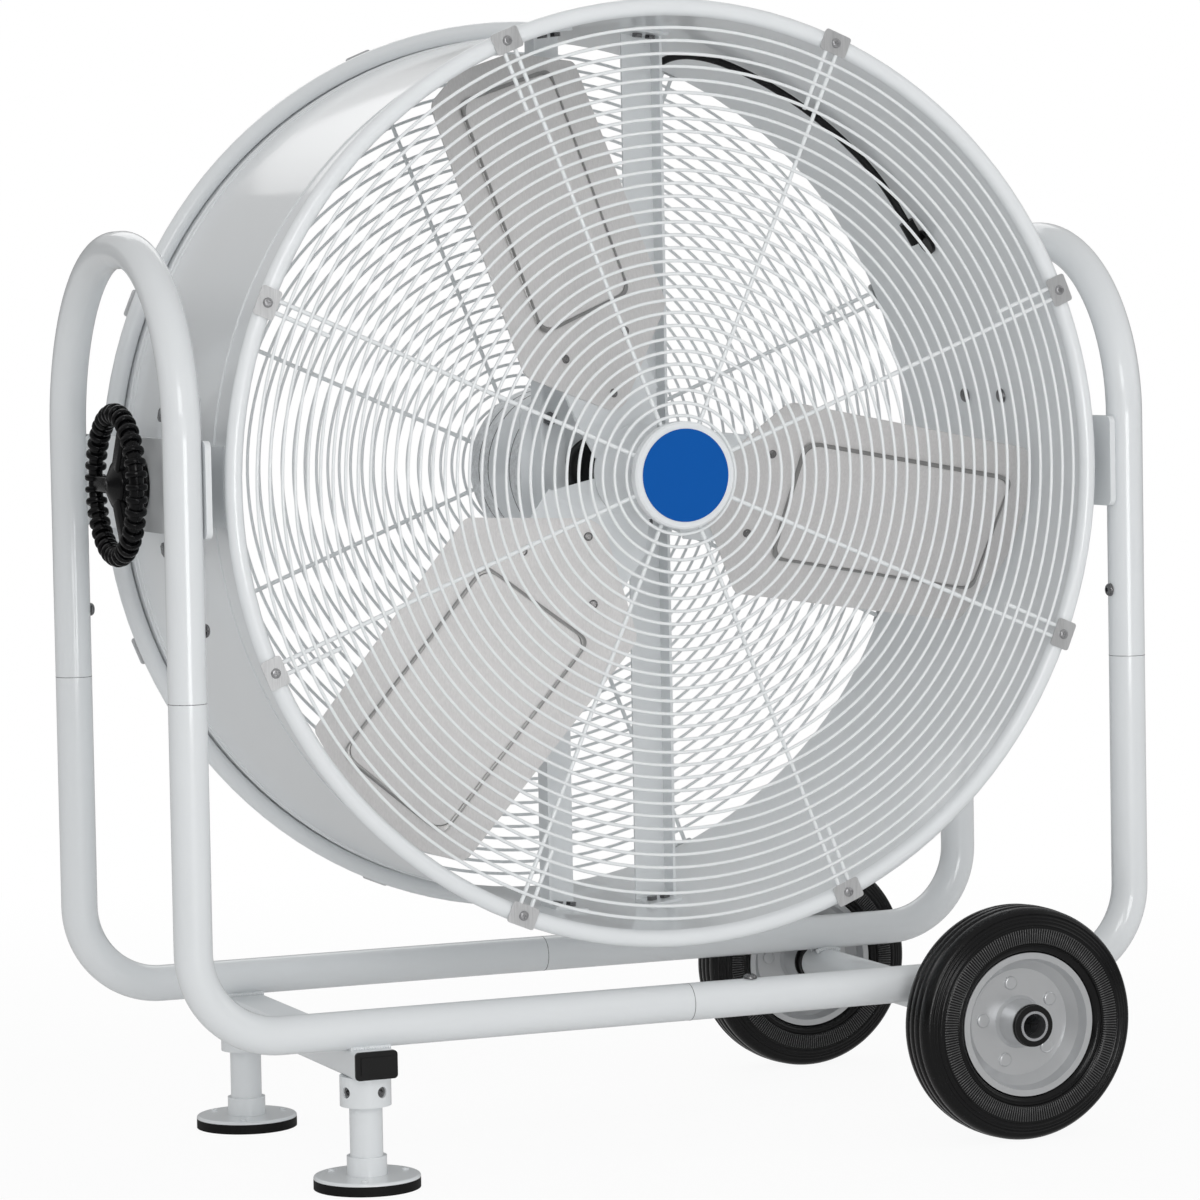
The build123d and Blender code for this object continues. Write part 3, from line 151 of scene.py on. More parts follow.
finishes = {
    "frame_paint": finish("framePaint", (0.80, 0.825, 0.84), coat=0.6, Broad_Scale=14.0, Fine_Scale=420.0,
                          Tone_Depth=0.03, Roughness=0.32, Roughness_Depth=0.08),
    "drum_paint": finish("drumPaint", (0.835, 0.86, 0.875), coat=0.45, Broad_Scale=9.0, Fine_Scale=380.0,
                         Tone_Depth=0.03, Roughness=0.30, Roughness_Depth=0.08),
    "guard_paint": finish("guardPaint", (0.86, 0.885, 0.895), coat=0.3, Broad_Scale=30.0, Fine_Scale=700.0,
                          Tone_Depth=0.03, Roughness=0.34, Roughness_Depth=0.06),
    "spider_paint": finish("spiderPaint", (0.76, 0.785, 0.80), coat=0.3, Broad_Scale=22.0, Fine_Scale=500.0,
                           Tone_Depth=0.06, Roughness=0.38, Roughness_Depth=0.1),
    # the blade's tip is painted darker, as painted shade of its curved end
    "blade_metal": finish("bladeAluminium", (0.75, 0.735, 0.73), stretch=(1, 1, 0.25), metallic=0.25,
                          tipShade=0.84, bump=0.25, Broad_Scale=30.0, Fine_Scale=700.0,
                          Tone_Depth=0.08, Fine_Tone=0.22, Roughness=0.46, Roughness_Depth=0.14),
    "rivet_steel": finish("rivetSteel", (0.24, 0.235, 0.235), metallic=0.9, Broad_Scale=120.0,
                          Fine_Scale=1500.0, Tone_Depth=0.3, Roughness=0.24, Roughness_Depth=0.2),
    "dark_steel": finish("darkSteel", (0.22, 0.22, 0.225), metallic=0.9, Broad_Scale=90.0,
                         Fine_Scale=1500.0, Tone_Depth=0.4, Roughness=0.26, Roughness_Depth=0.2),
    "bright_steel": finish("brightSteel", (0.58, 0.59, 0.61), metallic=0.9, Broad_Scale=70.0,
                           Fine_Scale=1200.0, Tone_Depth=0.12, Roughness=0.28, Roughness_Depth=0.15),
    "clip_steel": finish("clipSteel", (0.64, 0.645, 0.65), stretch=(1, 0.2, 0.06), metallic=0.6,
                         Broad_Scale=60.0, Fine_Scale=900.0, Tone_Depth=0.25, Fine_Tone=0.35,
                         Roughness=0.36, Roughness_Depth=0.2),
    "screw_steel": finish("screwSteel", (0.46, 0.46, 0.47), metallic=0.85, Broad_Scale=150.0,
                          Fine_Scale=1500.0, Tone_Depth=0.3, Roughness=0.32, Roughness_Depth=0.2),
    "badge_blue": finish("badgeBlue", (0.0, 0.095, 0.41), specular=0.12, bump=0.05, Broad_Scale=20.0,
                         Fine_Scale=900.0, Tone_Depth=0.04, Roughness=0.5, Roughness_Depth=0.06),
    "motor_paint": finish("motorPaint", (0.85, 0.88, 0.90), metallic=0.05, coat=0.4, Broad_Scale=18.0,
                          Fine_Scale=500.0, Tone_Depth=0.08, Roughness=0.34, Roughness_Depth=0.1),
    "motor_cast": finish("motorCast", (0.84, 0.86, 0.875), bump=0.8, bumpSize=0.0012, metallic=0.4,
                         Broad_Scale=130.0, Fine_Scale=420.0, Tone_Depth=0.7, Fine_Tone=0.5,
                         Roughness=0.42, Roughness_Depth=0.3),
    "stator_iron": finish("statorIron", (0.05, 0.05, 0.052), bump=0.4, metallic=0.4, Broad_Scale=60.0,
                          Fine_Scale=900.0, Tone_Depth=0.3, Roughness=0.6, Roughness_Depth=0.2),
    "cable_black": finish("cableRubber", (0.008, 0.008, 0.009), bump=0.3, specular=0.25, Broad_Scale=80.0,
                          Fine_Scale=900.0, Tone_Depth=0.4, Roughness=0.42, Roughness_Depth=0.15),
    "gland_black": finish("glandPlastic", (0.008, 0.008, 0.008), bump=0.2, specular=0.25, Broad_Scale=60.0,
                          Fine_Scale=900.0, Tone_Depth=0.3, Roughness=0.4, Roughness_Depth=0.1),
    "handwheel_black": finish("handwheelPlastic", (0.0025, 0.0025, 0.003), bump=0.25, specular=0.22,
                              Broad_Scale=60.0, Fine_Scale=520.0, Tone_Depth=0.3,
                              Roughness=0.2, Roughness_Depth=0.12),
    "plug_black": finish("plugPlastic", (0.007, 0.007, 0.007), bump=0.25, specular=0.3, Broad_Scale=60.0,
                         Fine_Scale=700.0, Tone_Depth=0.3, Roughness=0.42, Roughness_Depth=0.12),
    "rim_zinc": finish("rimZinc", (0.65, 0.66, 0.67), metallic=0.70, coat=0.1, Broad_Scale=40.0,
                       Fine_Scale=900.0, Tone_Depth=0.08, Roughness=0.33, Roughness_Depth=0.12),
    "tyre_rubber": finish("tyreRubber", (0.003, 0.003, 0.0033), bump=0.35, specular=0.3, Broad_Scale=40.0,
                          Fine_Scale=800.0, Tone_Depth=0.5, Roughness=0.18, Roughness_Depth=0.1),
    "bush_black": finish("bushPlastic", (0.006, 0.006, 0.006), bump=0.2, specular=0.3, Broad_Scale=60.0,
                         Fine_Scale=900.0, Tone_Depth=0.3, Roughness=0.3, Roughness_Depth=0.1),
    "pad_rubber": finish("padRubber", (0.007, 0.007, 0.007), bump=0.5, specular=0.2, Broad_Scale=60.0,
                         Fine_Scale=700.0, Tone_Depth=0.4, Roughness=0.6, Roughness_Depth=0.2),
}

nodeSlots = {row["node"]: row["material_slot"] for row in frame["record"]["subparts"]}
for nodeName, cadObject in cadNodes.items():
    coat = finishes[nodeSlots[nodeName]]
    if cadObject.material_slots:
        for materialSlot in cadObject.material_slots:
            materialSlot.material = coat
    else:
        cadObject.data.materials.append(coat)
print("stage: finishes on", len(cadNodes), "frame pieces")


# shared geometry trees: each is built once and run for every piece that it shapes

def newShapeTree(name, inputs):
    given = [("Geometry", "Geometry", None)] + inputs + [("Material", "Material", None)]
    return newGroup(name, given, [("Geometry", "Geometry")], "GeometryNodeTree")


def vectorOf(tree, x=0.0, y=0.0, z=0.0):
    return addNode(tree, "ShaderNodeCombineXYZ", {"X": x, "Y": y, "Z": z}).outputs[0]


def rotationOf(tree, x=0.0, y=0.0, z=0.0):
    euler = vectorOf(tree, x, y, z)
    return addNode(tree, "FunctionNodeEulerToRotation", {"Euler": euler}).outputs[0]


def closeTree(tree, given, made, geometry, turn, place):
    # turned to its axis, put in place, smooth, real and painted
    moved = addNode(tree, "GeometryNodeTransform", {
        "Geometry": geometry, "Rotation": turn, "Translation": place}).outputs[0]
    smooth = addNode(tree, "GeometryNodeSetShadeSmooth", {"Geometry": moved}).outputs[0]
    real = addNode(tree, "GeometryNodeRealizeInstances", {"Geometry": smooth}).outputs[0]
    painted = addNode(tree, "GeometryNodeSetMaterial", {
        "Geometry": real, "Material": given["Material"]}).outputs[0]
    tree.links.new(painted, made["Geometry"])
    return tree


def circleOf(tree, radius, sides):
    circle = addNode(tree, "GeometryNodeCurvePrimitiveCircle", {"Radius": radius, "Resolution": sides})
    return circle.outputs[0]


def pointsOf(tree, count):
    return addNode(tree, "GeometryNodeMeshLine", {"Count": count, "Offset": (0, 0, 0)}).outputs[0]


def buildGuardTree():
    # rings about one axis, and straight bars with a short twin at their outer end
    tree, given, made = newShapeTree("guardWires", [
        ("First Radius", "Float", 0.047), ("Pitch", "Float", 0.013), ("Ring Count", "Int", 32),
        ("Ring Wire", "Float", 0.0016), ("Ring Depth", "Float", 0.0), ("Bar Wire", "Float", 0.0022),
        ("Bar Depth", "Float", 0.0), ("Bar Start", "Float", 0.045), ("Bar End", "Float", 0.46),
        ("Twin Start", "Float", 0.4), ("Twin Offset", "Float", 0.012), ("Bar Count", "Int", 8),
        ("First Angle", "Float", 0.0), ("Axis Height", "Float", 0.7), ("Ring Segments", "Int", 160),
        ("Wire Sides", "Int", 8)])
    index = addNode(tree, "GeometryNodeInputIndex").outputs[0]
    size = calc(tree, "MULTIPLY_ADD", index, given["Pitch"], given["First Radius"])
    loops = addNode(tree, "GeometryNodeInstanceOnPoints", {
        "Points": pointsOf(tree, given["Ring Count"]),
        "Instance": circleOf(tree, 1.0, given["Ring Segments"]),
        "Scale": vectorOf(tree, size, size, size)}).outputs[0]
    loops = addNode(tree, "GeometryNodeRealizeInstances", {"Geometry": loops}).outputs[0]
    rings = addNode(tree, "GeometryNodeCurveToMesh", {
        "Curve": loops,
        "Profile Curve": circleOf(tree, given["Ring Wire"], given["Wire Sides"])}).outputs[0]
    # the bars are drawn at their own depth, measured from the rings
    sink = calc(tree, "SUBTRACT", given["Ring Depth"], given["Bar Depth"])
    bar = addNode(tree, "GeometryNodeCurvePrimitiveLine", {
        "Start": vectorOf(tree, given["Bar Start"], 0.0, sink),
        "End": vectorOf(tree, given["Bar End"], 0.0, sink)}).outputs[0]
    twin = addNode(tree, "GeometryNodeCurvePrimitiveLine", {
        "Start": vectorOf(tree, given["Twin Start"], given["Twin Offset"], sink),
        "End": vectorOf(tree, given["Bar End"], given["Twin Offset"], sink)}).outputs[0]
    pair = addNode(tree, "GeometryNodeJoinGeometry")
    tree.links.new(bar, pair.inputs[0])
    tree.links.new(twin, pair.inputs[0])
    step = calc(tree, "DIVIDE", tau, given["Bar Count"])
    angle = calc(tree, "MULTIPLY_ADD", index, step, given["First Angle"])
    bars = addNode(tree, "GeometryNodeInstanceOnPoints", {
        "Points": pointsOf(tree, given["Bar Count"]), "Instance": pair.outputs[0],
        "Rotation": rotationOf(tree, z=angle)}).outputs[0]
    bars = addNode(tree, "GeometryNodeRealizeInstances", {"Geometry": bars}).outputs[0]
    bars = addNode(tree, "GeometryNodeCurveToMesh", {
        "Curve": bars, "Profile Curve": circleOf(tree, given["Bar Wire"], given["Wire Sides"]),
        "Fill Caps": True}).outputs[0]
    whole = addNode(tree, "GeometryNodeJoinGeometry")
    tree.links.new(rings, whole.inputs[0])
    tree.links.new(bars, whole.inputs[0])
    place = vectorOf(tree, 0.0, given["Ring Depth"], given["Axis Height"])
    return closeTree(tree, given, made, whole.outputs[0], rotationOf(tree, x=tau / 4), place)


def buildTurnedTree():
    # the carrier's own line, x out from the axis and y along it, turned all round
    tree, given, made = newShapeTree("turnedSection", [
        ("Base Radius", "Float", 0.1), ("Segments", "Int", 96), ("Turn", "Vector", (0, 0, 0)),
        ("Place", "Vector", (0, 0, 0))])
    section = addNode(tree, "GeometryNodeMeshToCurve", {"Mesh": given["Geometry"]}).outputs[0]
    loop = circleOf(tree, given["Base Radius"], given["Segments"])
    body = addNode(tree, "GeometryNodeCurveToMesh", {"Curve": loop, "Profile Curve": section}).outputs[0]
    turn = addNode(tree, "FunctionNodeEulerToRotation", {"Euler": given["Turn"]}).outputs[0]
    return closeTree(tree, given, made, body, turn, given["Place"])


def buildAroundTree():
    # copies of the carrier's own mesh round one axis
    tree, given, made = newShapeTree("copiesAround", [
        ("Count", "Int", 12), ("First Angle", "Float", 0.0), ("Turn", "Vector", (0, 0, 0)),
        ("Place", "Vector", (0, 0, 0))])
    index = addNode(tree, "GeometryNodeInputIndex").outputs[0]
    step = calc(tree, "DIVIDE", tau, given["Count"])
    angle = calc(tree, "MULTIPLY_ADD", index, step, given["First Angle"])
    copies = addNode(tree, "GeometryNodeInstanceOnPoints", {
        "Points": pointsOf(tree, given["Count"]), "Instance": given["Geometry"],
        "Rotation": rotationOf(tree, z=angle)}).outputs[0]
    turn = addNode(tree, "FunctionNodeEulerToRotation", {"Euler": given["Turn"]}).outputs[0]
    return closeTree(tree, given, made, copies, turn, given["Place"])


def buildBeadTree():
    # a weld bead along the carrier's own edges, with ripples and a little waver
    tree, given, made = newShapeTree("weldBead", [
        ("Bead Radius", "Float", 0.0025), ("Bead Sides", "Int", 10), ("Step Length", "Float", 0.0007),
        ("Ripple Length", "Float", 0.0028), ("Ripple Depth", "Float", 0.16), ("Waver", "Float", 0.0009),
        ("Waver Scale", "Float", 130.0)])
    line = addNode(tree, "GeometryNodeMeshToCurve", {"Mesh": given["Geometry"]}).outputs[0]
    line = addNode(tree, "GeometryNodeResampleCurve", {"Curve": line, "Length": given["Step Length"]},
                   mode="LENGTH").outputs[0]
    spot = addNode(tree, "GeometryNodeInputPosition").outputs[0]
    noise = addNode(tree, "ShaderNodeTexNoise", {
        "Vector": spot, "Scale": given["Waver Scale"], "Detail": 1.0})
    shift = addNode(tree, "ShaderNodeVectorMath", {0: noise.outputs["Color"], 1: (0.5, 0.5, 0.5)},
                    operation="SUBTRACT").outputs[0]
    shift = addNode(tree, "ShaderNodeVectorMath", {0: shift, "Scale": given["Waver"]},
                    operation="SCALE").outputs[0]
    line = addNode(tree, "GeometryNodeSetPosition", {"Geometry": line, "Offset": shift}).outputs[0]
    along = addNode(tree, "GeometryNodeSplineParameter").outputs["Length"]
    phase = calc(tree, "MULTIPLY", calc(tree, "DIVIDE", along, given["Ripple Length"]), tau)
    ripple = calc(tree, "MULTIPLY_ADD", calc(tree, "SINE", phase), given["Ripple Depth"], 1.0)
    bead = addNode(tree, "GeometryNodeCurveToMesh", {
        "Curve": line, "Profile Curve": circleOf(tree, given["Bead Radius"], given["Bead Sides"]),
        "Scale": ripple, "Fill Caps": True}).outputs[0]
    return closeTree(tree, given, made, bead, rotationOf(tree), vectorOf(tree))


guardTree = buildGuardTree()
turnedTree = buildTurnedTree()
aroundTree = buildAroundTree()
beadTree = buildBeadTree()


# plain meshes that the trees work on

def loopMesh(name, points):
    # a closed outline in its own plane
    mesh = bpy.data.meshes.new(name)
    edges = [(i, i + 1) for i in range(len(points) - 1)] + [(len(points) - 1, 0)]
    mesh.from_pydata([(x, y, 0) for x, y in points], edges, [])
    return mesh


def bandMesh(name, wide, sunk, proud):
    # a fine band's section, sunk into its wall and a little proud of it
    half = wide / 2
    return loopMesh(name, [(-sunk, -half), (proud, -half), (proud, half), (-sunk, half)])


def pathsMesh(name, paths):
    mesh = bpy.data.meshes.new(name)
    points, edges = [], []
    for path in paths:
        start = len(points)
        points += path
        edges += [(start + i, start + i + 1) for i in range(len(path) - 1)]
    mesh.from_pydata(points, edges, [])
    return mesh


def roundedBox(name, low, high, rounding, segments):
    # a box with soft edges
    work = bmesh.new()
    size = Vector(high) - Vector(low)
    middle = (Vector(high) + Vector(low)) / 2
    bmesh.ops.create_cube(work, size=1.0, matrix=Matrix.Translation(middle) @ Matrix.Diagonal((*size, 1)))
    bmesh.ops.bevel(work, geom=work.edges[:], offset=rounding, segments=segments, profile=0.5,
                    affect="EDGES")
    mesh = bpy.data.meshes.new(name)
    work.to_mesh(mesh)
    work.free()
    return mesh


def finishPiece(piece, body, replaced=(), closed=True):
    # a closed mesh gets its faces turned outward
    if closed:
        work = bmesh.new()
        work.from_mesh(piece.data)
        bmesh.ops.recalc_face_normals(work, faces=work.faces)
        work.to_mesh(piece.data)
        work.free()
    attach(piece, body)
    if replaced:
        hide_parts(*replaced)


def runTree(name, tree, mesh, body, slotName, replaced=(), closed=True, coat=None, **given):
    # the tree's result becomes the piece's own mesh; coat paints it with another finish than its slot's
    carrier = bpy.data.objects.new(name, mesh or bpy.data.meshes.new(name))
    bpy.context.collection.objects.link(carrier)
    modifier = carrier.modifiers.new("shape", "NODES")
    modifier.node_group = tree
    sockets = {item.name: item.identifier for item in tree.interface.items_tree
               if item.item_type == "SOCKET" and item.in_out == "INPUT"}
    for label, value in given.items():
        modifier[sockets[label.replace("_", " ")]] = value
    modifier[sockets["Material"]] = coat or finishes[slotName]
    graph = bpy.context.evaluated_depsgraph_get()
    made = bpy.data.meshes.new_from_object(carrier.evaluated_get(graph))
    carrier.modifiers.remove(modifier)
    carrier.data = made
    finishPiece(carrier, body, replaced, closed)


# wire guards

guards = {
    "ringRadius": 0.0017,
    "barRadius": 0.0023,
    "firstRing": 0.047,
    "pitch": 0.013,
    "rings": 32,
    "bars": 8,
    "barStart": 0.045,
    "barEnd": 0.463,
    "twinStart": 0.396,
    "twinOffset": 0.012,
    "firstPair": math.radians(22.5),
    "segments": 160,
    "wireSides": 8,
    "ringDepth": {"front": -0.214, "rear": 0.20975},
    "barDepth": {"front": -0.211, "rear": 0.20675},
}


def makeGuards():
    # a bar and its twin stand even about their pair's angle
    firstBar = guards["firstPair"] - math.asin(guards["twinOffset"] / 2 / guards["barEnd"])
    for end in ("front", "rear"):
        runTree(end + "GuardWires", guardTree, None, "drum", "guard_paint", (end + "_guard",),
                closed=False, First_Radius=guards["firstRing"], Pitch=guards["pitch"],
                Ring_Count=guards["rings"], Ring_Wire=guards["ringRadius"],
                Ring_Depth=guards["ringDepth"][end], Ring_Segments=guards["segments"],
                Bar_Count=guards["bars"], Bar_Wire=guards["barRadius"], Bar_Depth=guards["barDepth"][end],
                Bar_Start=guards["barStart"], Bar_End=guards["barEnd"], Twin_Start=guards["twinStart"],
                Twin_Offset=guards["twinOffset"], First_Angle=firstBar, Axis_Height=axisHeight,
                Wire_Sides=guards["wireSides"])


makeGuards()
print("stage: wire guards")


# tyres with ribbed walls

aboutY = (tau / 4, 0, 0)
tyres = {
    "radius": 0.1215,
    "x": 0.35,
    "y": 0.262,
    "segments": 160,
    "ribs": 220,
    "ribStart": 0.0850,
    "ribEnd": 0.1000,
    "ribWide": 0.0011,
    "ribFoot": 0.0275,   # a rib's inner and outer face, from the tyre's middle
    "ribFace": 0.0302,
    "ribEdge": 0.0003,
    "baseRadius": 0.1,   # the section is drawn about a circle of this radius
    # half of the section, radius and half width, from the rim's lip over the wall to the tread's middle
    "wall": [
        (0.0720, 0.0124), (0.0725, 0.0213), (0.0753, 0.0213), (0.0762, 0.0246), (0.0795, 0.0270),
        (0.0833, 0.0278), (0.0838, 0.0270), (0.0845, 0.0270), (0.0850, 0.0286), (0.0905, 0.0294),
        (0.0965, 0.0298), (0.1000, 0.0297), (0.1005, 0.0289), (0.1011, 0.0289), (0.1017, 0.0295),
        (0.1053, 0.0289), (0.1057, 0.0279), (0.1065, 0.0279), (0.1069, 0.0284), (0.1087, 0.0279),
        (0.1091, 0.0271), (0.1099, 0.0270), (0.1104, 0.0274), (0.1120, 0.0268), (0.1125, 0.0259),
        (0.1133, 0.0256), (0.1139, 0.0259), (0.1177, 0.0232), (0.1201, 0.0196), (0.1207, 0.0165),
        (0.1209, 0.0130), (0.1205, 0.0122), (0.1177, 0.0119), (0.1174, 0.0112), (0.1174, 0.0097),
        (0.1178, 0.0090), (0.1208, 0.0086), (0.1213, 0.0078), (0.1215, 0.0050), (0.1215, 0.0026),
        (0.1212, 0.0018), (0.1180, 0.0014), (0.1176, 0.0006)],
    # and of its hollow, from the tread's middle back to the rim
    "inside": [
        (0.1120, 0.004), (0.1115, 0.013), (0.1065, 0.020), (0.0965, 0.0225), (0.0845, 0.0205),
        (0.0780, 0.012), (0.0743, 0.0092)],
}


def tyreSection():
    wall, inside = tyres["wall"], tyres["inside"]
    ring = wall + [(r, -t) for r, t in reversed(wall)]
    return ring + [(r, -t) for r, t in reversed(inside)] + inside


def makeTyres():
    base = tyres["baseRadius"]
    # the ribs are lighter than the tyre: partly the knurl's own greyer rubber, partly painted sheen that
    # the ribs catch from the lamps
    ribbed = finish("tyreRibsToneAndSheen", (0.06, 0.06, 0.061), bump=0.2, specular=0.8, Broad_Scale=40.0,
                    Fine_Scale=800.0, Tone_Depth=0.5, Roughness=0.3, Roughness_Depth=0.2)
    section = [(r - base, t) for r, t in tyreSection()]
    wide = tyres["ribWide"] / 2
    for end, side in (("front", -1), ("rear", 1)):
        body = end + "_wheel"
        place = (tyres["x"], side * tyres["y"], tyres["radius"])
        runTree(end + "Tyre", turnedTree, loopMesh(end + "Tyre", section), body, "tyre_rubber",
                (end + "_wheel_tyre",), Base_Radius=base, Segments=tyres["segments"], Turn=aboutY,
                Place=place)
        for wall in (-1, 1):
            low, high = sorted((wall * tyres["ribFoot"], wall * tyres["ribFace"]))
            rib = roundedBox("rib", (tyres["ribStart"], -wide, low), (tyres["ribEnd"], wide, high),
                             tyres["ribEdge"], 1)
            name = end + ("TyreRibsOut" if wall == side else "TyreRibsIn")
            runTree(name, aroundTree, rib, body, "tyre_rubber", coat=ribbed, Count=tyres["ribs"],
                    Turn=aboutY, Place=place)


makeTyres()
print("stage: tyres")


# handwheel on the left pivot

grip = {
    "x": -0.5285,
    "ringRadius": 0.072,
    "ringSegments": 96,
    "coreRadius": 0.0072,
    "coreSides": 24,
    "ribRadius": 0.011,
    "ribThick": 0.0068,
    "ribs": 37,
    "ribSoft": 0.0024,
    "ribSides": 28,
    "ribInner": 0.3,      # how far in a rib's faces reach, as a share of its radius
    "arms": 3,
    "armStart": 0.0185,
    "armEnd": 0.068,
    "armWide": 0.018,
    "armBack": -0.0055,   # the arm's two faces along the axis
    "armFace": 0.0055,
    "armSoft": 0.0036,
    "hubBase": 0.02,      # the hub's section is drawn about a circle of this radius
    "hubSegments": 72,
    # radius and depth along the axis: the flange at the pivot with soft edges, then the neck
    "hubSide": [(0.0082, -0.0267), (0.0279, -0.0267), (0.0285, -0.0261), (0.0285, -0.0239),
                (0.0279, -0.0229), (0.0265, -0.0225), (0.0258, -0.0187), (0.0250, -0.0165)],
    # the nose's shoulder and crown: centre's radius and depth, radius, first and last angle, steps
    "noseArcs": [(0.0212, -0.0008, 0.0036, 0, 70, 5), (0.0055, 0.0051, 0.0054, 70, 90, 3)],
    # the tip, which closes near enough to the axis, and the bore's end
    "hubMiddle": [(0.0001, 0.0105), (0.0001, -0.0005), (0.0082, -0.0005)],
}
aboutX = (0, -tau / 4, 0)  # the turned axis points to the left


def arc(centreX, centreY, radius, start, end, steps):
    points = []
    for step in range(steps + 1):
        angle = math.radians(start + (end - start) * step / steps)
        points.append((centreX + radius * math.cos(angle), centreY + radius * math.sin(angle)))
    return points


def ribMesh():
    # one rounded disc of the grip, its flat faces across the ring
    radius, half, soft, sides = grip["ribRadius"], grip["ribThick"] / 2, grip["ribSoft"], grip["ribSides"]
    inner = radius * grip["ribInner"]
    outline = [(inner, -half)] + arc(radius - soft, soft - half, soft, -90, 0, 4)
    outline += arc(radius - soft, half - soft, soft, 0, 90, 4) + [(inner, half)]
    work = bmesh.new()
    rings = []
    for r, y in outline:
        ring = []
        for side in range(sides):
            angle = tau * side / sides
            ring.append(work.verts.new((grip["ringRadius"] + r * math.cos(angle), y, r * math.sin(angle))))
        rings.append(ring)
    for low, high in zip(rings, rings[1:]):
        for side in range(sides):
            nextSide = (side + 1) % sides
            work.faces.new((low[side], low[nextSide], high[nextSide], high[side]))
    mesh = bpy.data.meshes.new("gripRib")
    work.to_mesh(mesh)
    work.free()
    return mesh


def makeHandwheel():
    place = (grip["x"], 0, axisHeight)
    hub = list(grip["hubSide"])
    for bend in grip["noseArcs"]:
        hub += arc(*bend)
    hub += grip["hubMiddle"]
    base = grip["hubBase"]
    runTree("handwheelHub", turnedTree, loopMesh("hub", [(r - base, -d) for r, d in hub]),
            "handwheel", "handwheel_black", ("handwheel",), Base_Radius=base,
            Segments=grip["hubSegments"], Turn=aboutX, Place=place)
    sides = grip["coreSides"]
    core = arc(0, 0, grip["coreRadius"], 0, 360 - 360 / sides, sides - 1)  # the loop closes it
    runTree("handwheelCore", turnedTree, loopMesh("core", core), "handwheel", "handwheel_black",
            Base_Radius=grip["ringRadius"], Segments=grip["ringSegments"], Turn=aboutX, Place=place)
    runTree("handwheelRibs", aroundTree, ribMesh(), "handwheel", "handwheel_black", closed=False,
            Count=grip["ribs"], First_Angle=tau / 4 + tau / grip["ribs"] / 2, Turn=aboutX, Place=place)
    half = grip["armWide"] / 2
    arm = roundedBox("arm", (grip["armStart"], -half, grip["armBack"]),
                     (grip["armEnd"], half, grip["armFace"]), grip["armSoft"], 4)
    runTree("handwheelArms", aroundTree, arm, "handwheel", "handwheel_black", Count=grip["arms"],
            First_Angle=tau / 4, Turn=aboutX, Place=place)


makeHandwheel()
print("stage: handwheel")


# cable from the motor to its gland, along the route of the solid one

cable = {
    "radius": 0.004,
    "length": 0.752,
    "steps": 10,   # between two points of the route
    "rings": 4,    # bevel resolution of its round section
    "depth": 0.0128,
    "wallRadius": 0.4575,
    # mm from the drum's axis: out of the motor, up the strut and out to the wall
    "upright": [(54.25, 62, 66), (54.25, 62, 104), (54.25, 12.8, 160), (50.25, 12.8, 255),
                (57.25, 12.8, 345), (54.25, 12.8, 392), (69.25, 12.8, 420), (100.25, 12.8, 438)],
    # degrees along the wall, and how far off it the cable lies
    "alongWall": [(71.5, 0), (64.5, 0), (57.5, 0), (50.5, 0), (43.5, 0), (38.5, 0.002), (33.6, 0.005)],
}


def cableRoute():
    points = [Vector((x / 1000, y / 1000, axisHeight + z / 1000)) for x, y, z in cable["upright"]]
    for angle, inward in cable["alongWall"]:
        turn = math.radians(angle)
        reach = cable["wallRadius"] - inward
        points.append(Vector((reach * math.cos(turn), cable["depth"], axisHeight + reach * math.sin(turn))))
    return points


def makeCable():
    route = cableRoute()
    data = bpy.data.curves.new("motorCable", "CURVE")
    data.dimensions = "3D"
    line = data.splines.new("NURBS")
    line.points.add(len(route) - 1)
    for point, spot in zip(line.points, route):
        point.co = (*spot, 1)
    line.order_u = 3
    line.use_endpoint_u = True
    line.resolution_u = cable["steps"]
    data.bevel_depth = cable["radius"]
    data.bevel_resolution = cable["rings"]
    data.use_fill_caps = True
    piece = bpy.data.objects.new("motorCable", data)
    bpy.context.collection.objects.link(piece)
    data.materials.append(finishes["cable_black"])
    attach(piece, "drum")
    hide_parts("motor_cable")


makeCable()
print("stage: cable")


# black nose of the motor, painted shade for the dark gap behind the spider, and the dark joints of its case

motor = {
    "noseRadius": 0.0354,
    "noseFront": -0.0125,
    "noseRear": 0.0118,
    "noseBore": 0.0105,
    "noseSoft": 0.002,      # cut of its outer edge
    "noseInnerSoft": 0.0022,
    "noseSkin": 0.0003,
    "noseSegments": 72,
    "caseRadius": 0.086,
    "caseSegments": 96,
    "joints": [0.040, 0.101, 0.128],
    "jointWide": 0.0014,
    "jointSunk": 0.001,
    "jointProud": 0.00025,
}


def makeMotorDetails():
    place = (0, 0, axisHeight)
    front, rear, skin, soft = motor["noseFront"], motor["noseRear"], motor["noseSkin"], motor["noseSoft"]
    base, bore, inner = motor["noseRadius"], motor["noseBore"], motor["noseInnerSoft"]
    nose = [(bore, front), (base - soft, front), (base, front + soft), (base, rear), (base - skin, rear),
            (base - skin, front + inner), (base - inner, front + skin), (bore, front + skin)]
    # painted shade: the nose is made black for the dark gap between the spider and the motor
    runTree("noseShade", turnedTree, loopMesh("nose", [(r - base, d) for r, d in nose]), "drum",
            "gland_black", Base_Radius=base, Segments=motor["noseSegments"], Turn=aboutY, Place=place)
    joint = bandMesh("caseJoint", motor["jointWide"], motor["jointSunk"], motor["jointProud"])
    for number, depth in enumerate(motor["joints"]):
        runTree(f"caseJoint{number}", turnedTree, joint, "drum", "dark_steel",
                Base_Radius=motor["caseRadius"], Segments=motor["caseSegments"], Turn=aboutY,
                Place=(0, depth, axisHeight))


makeMotorDetails()
print("stage: motor details")


# welds and tube seams

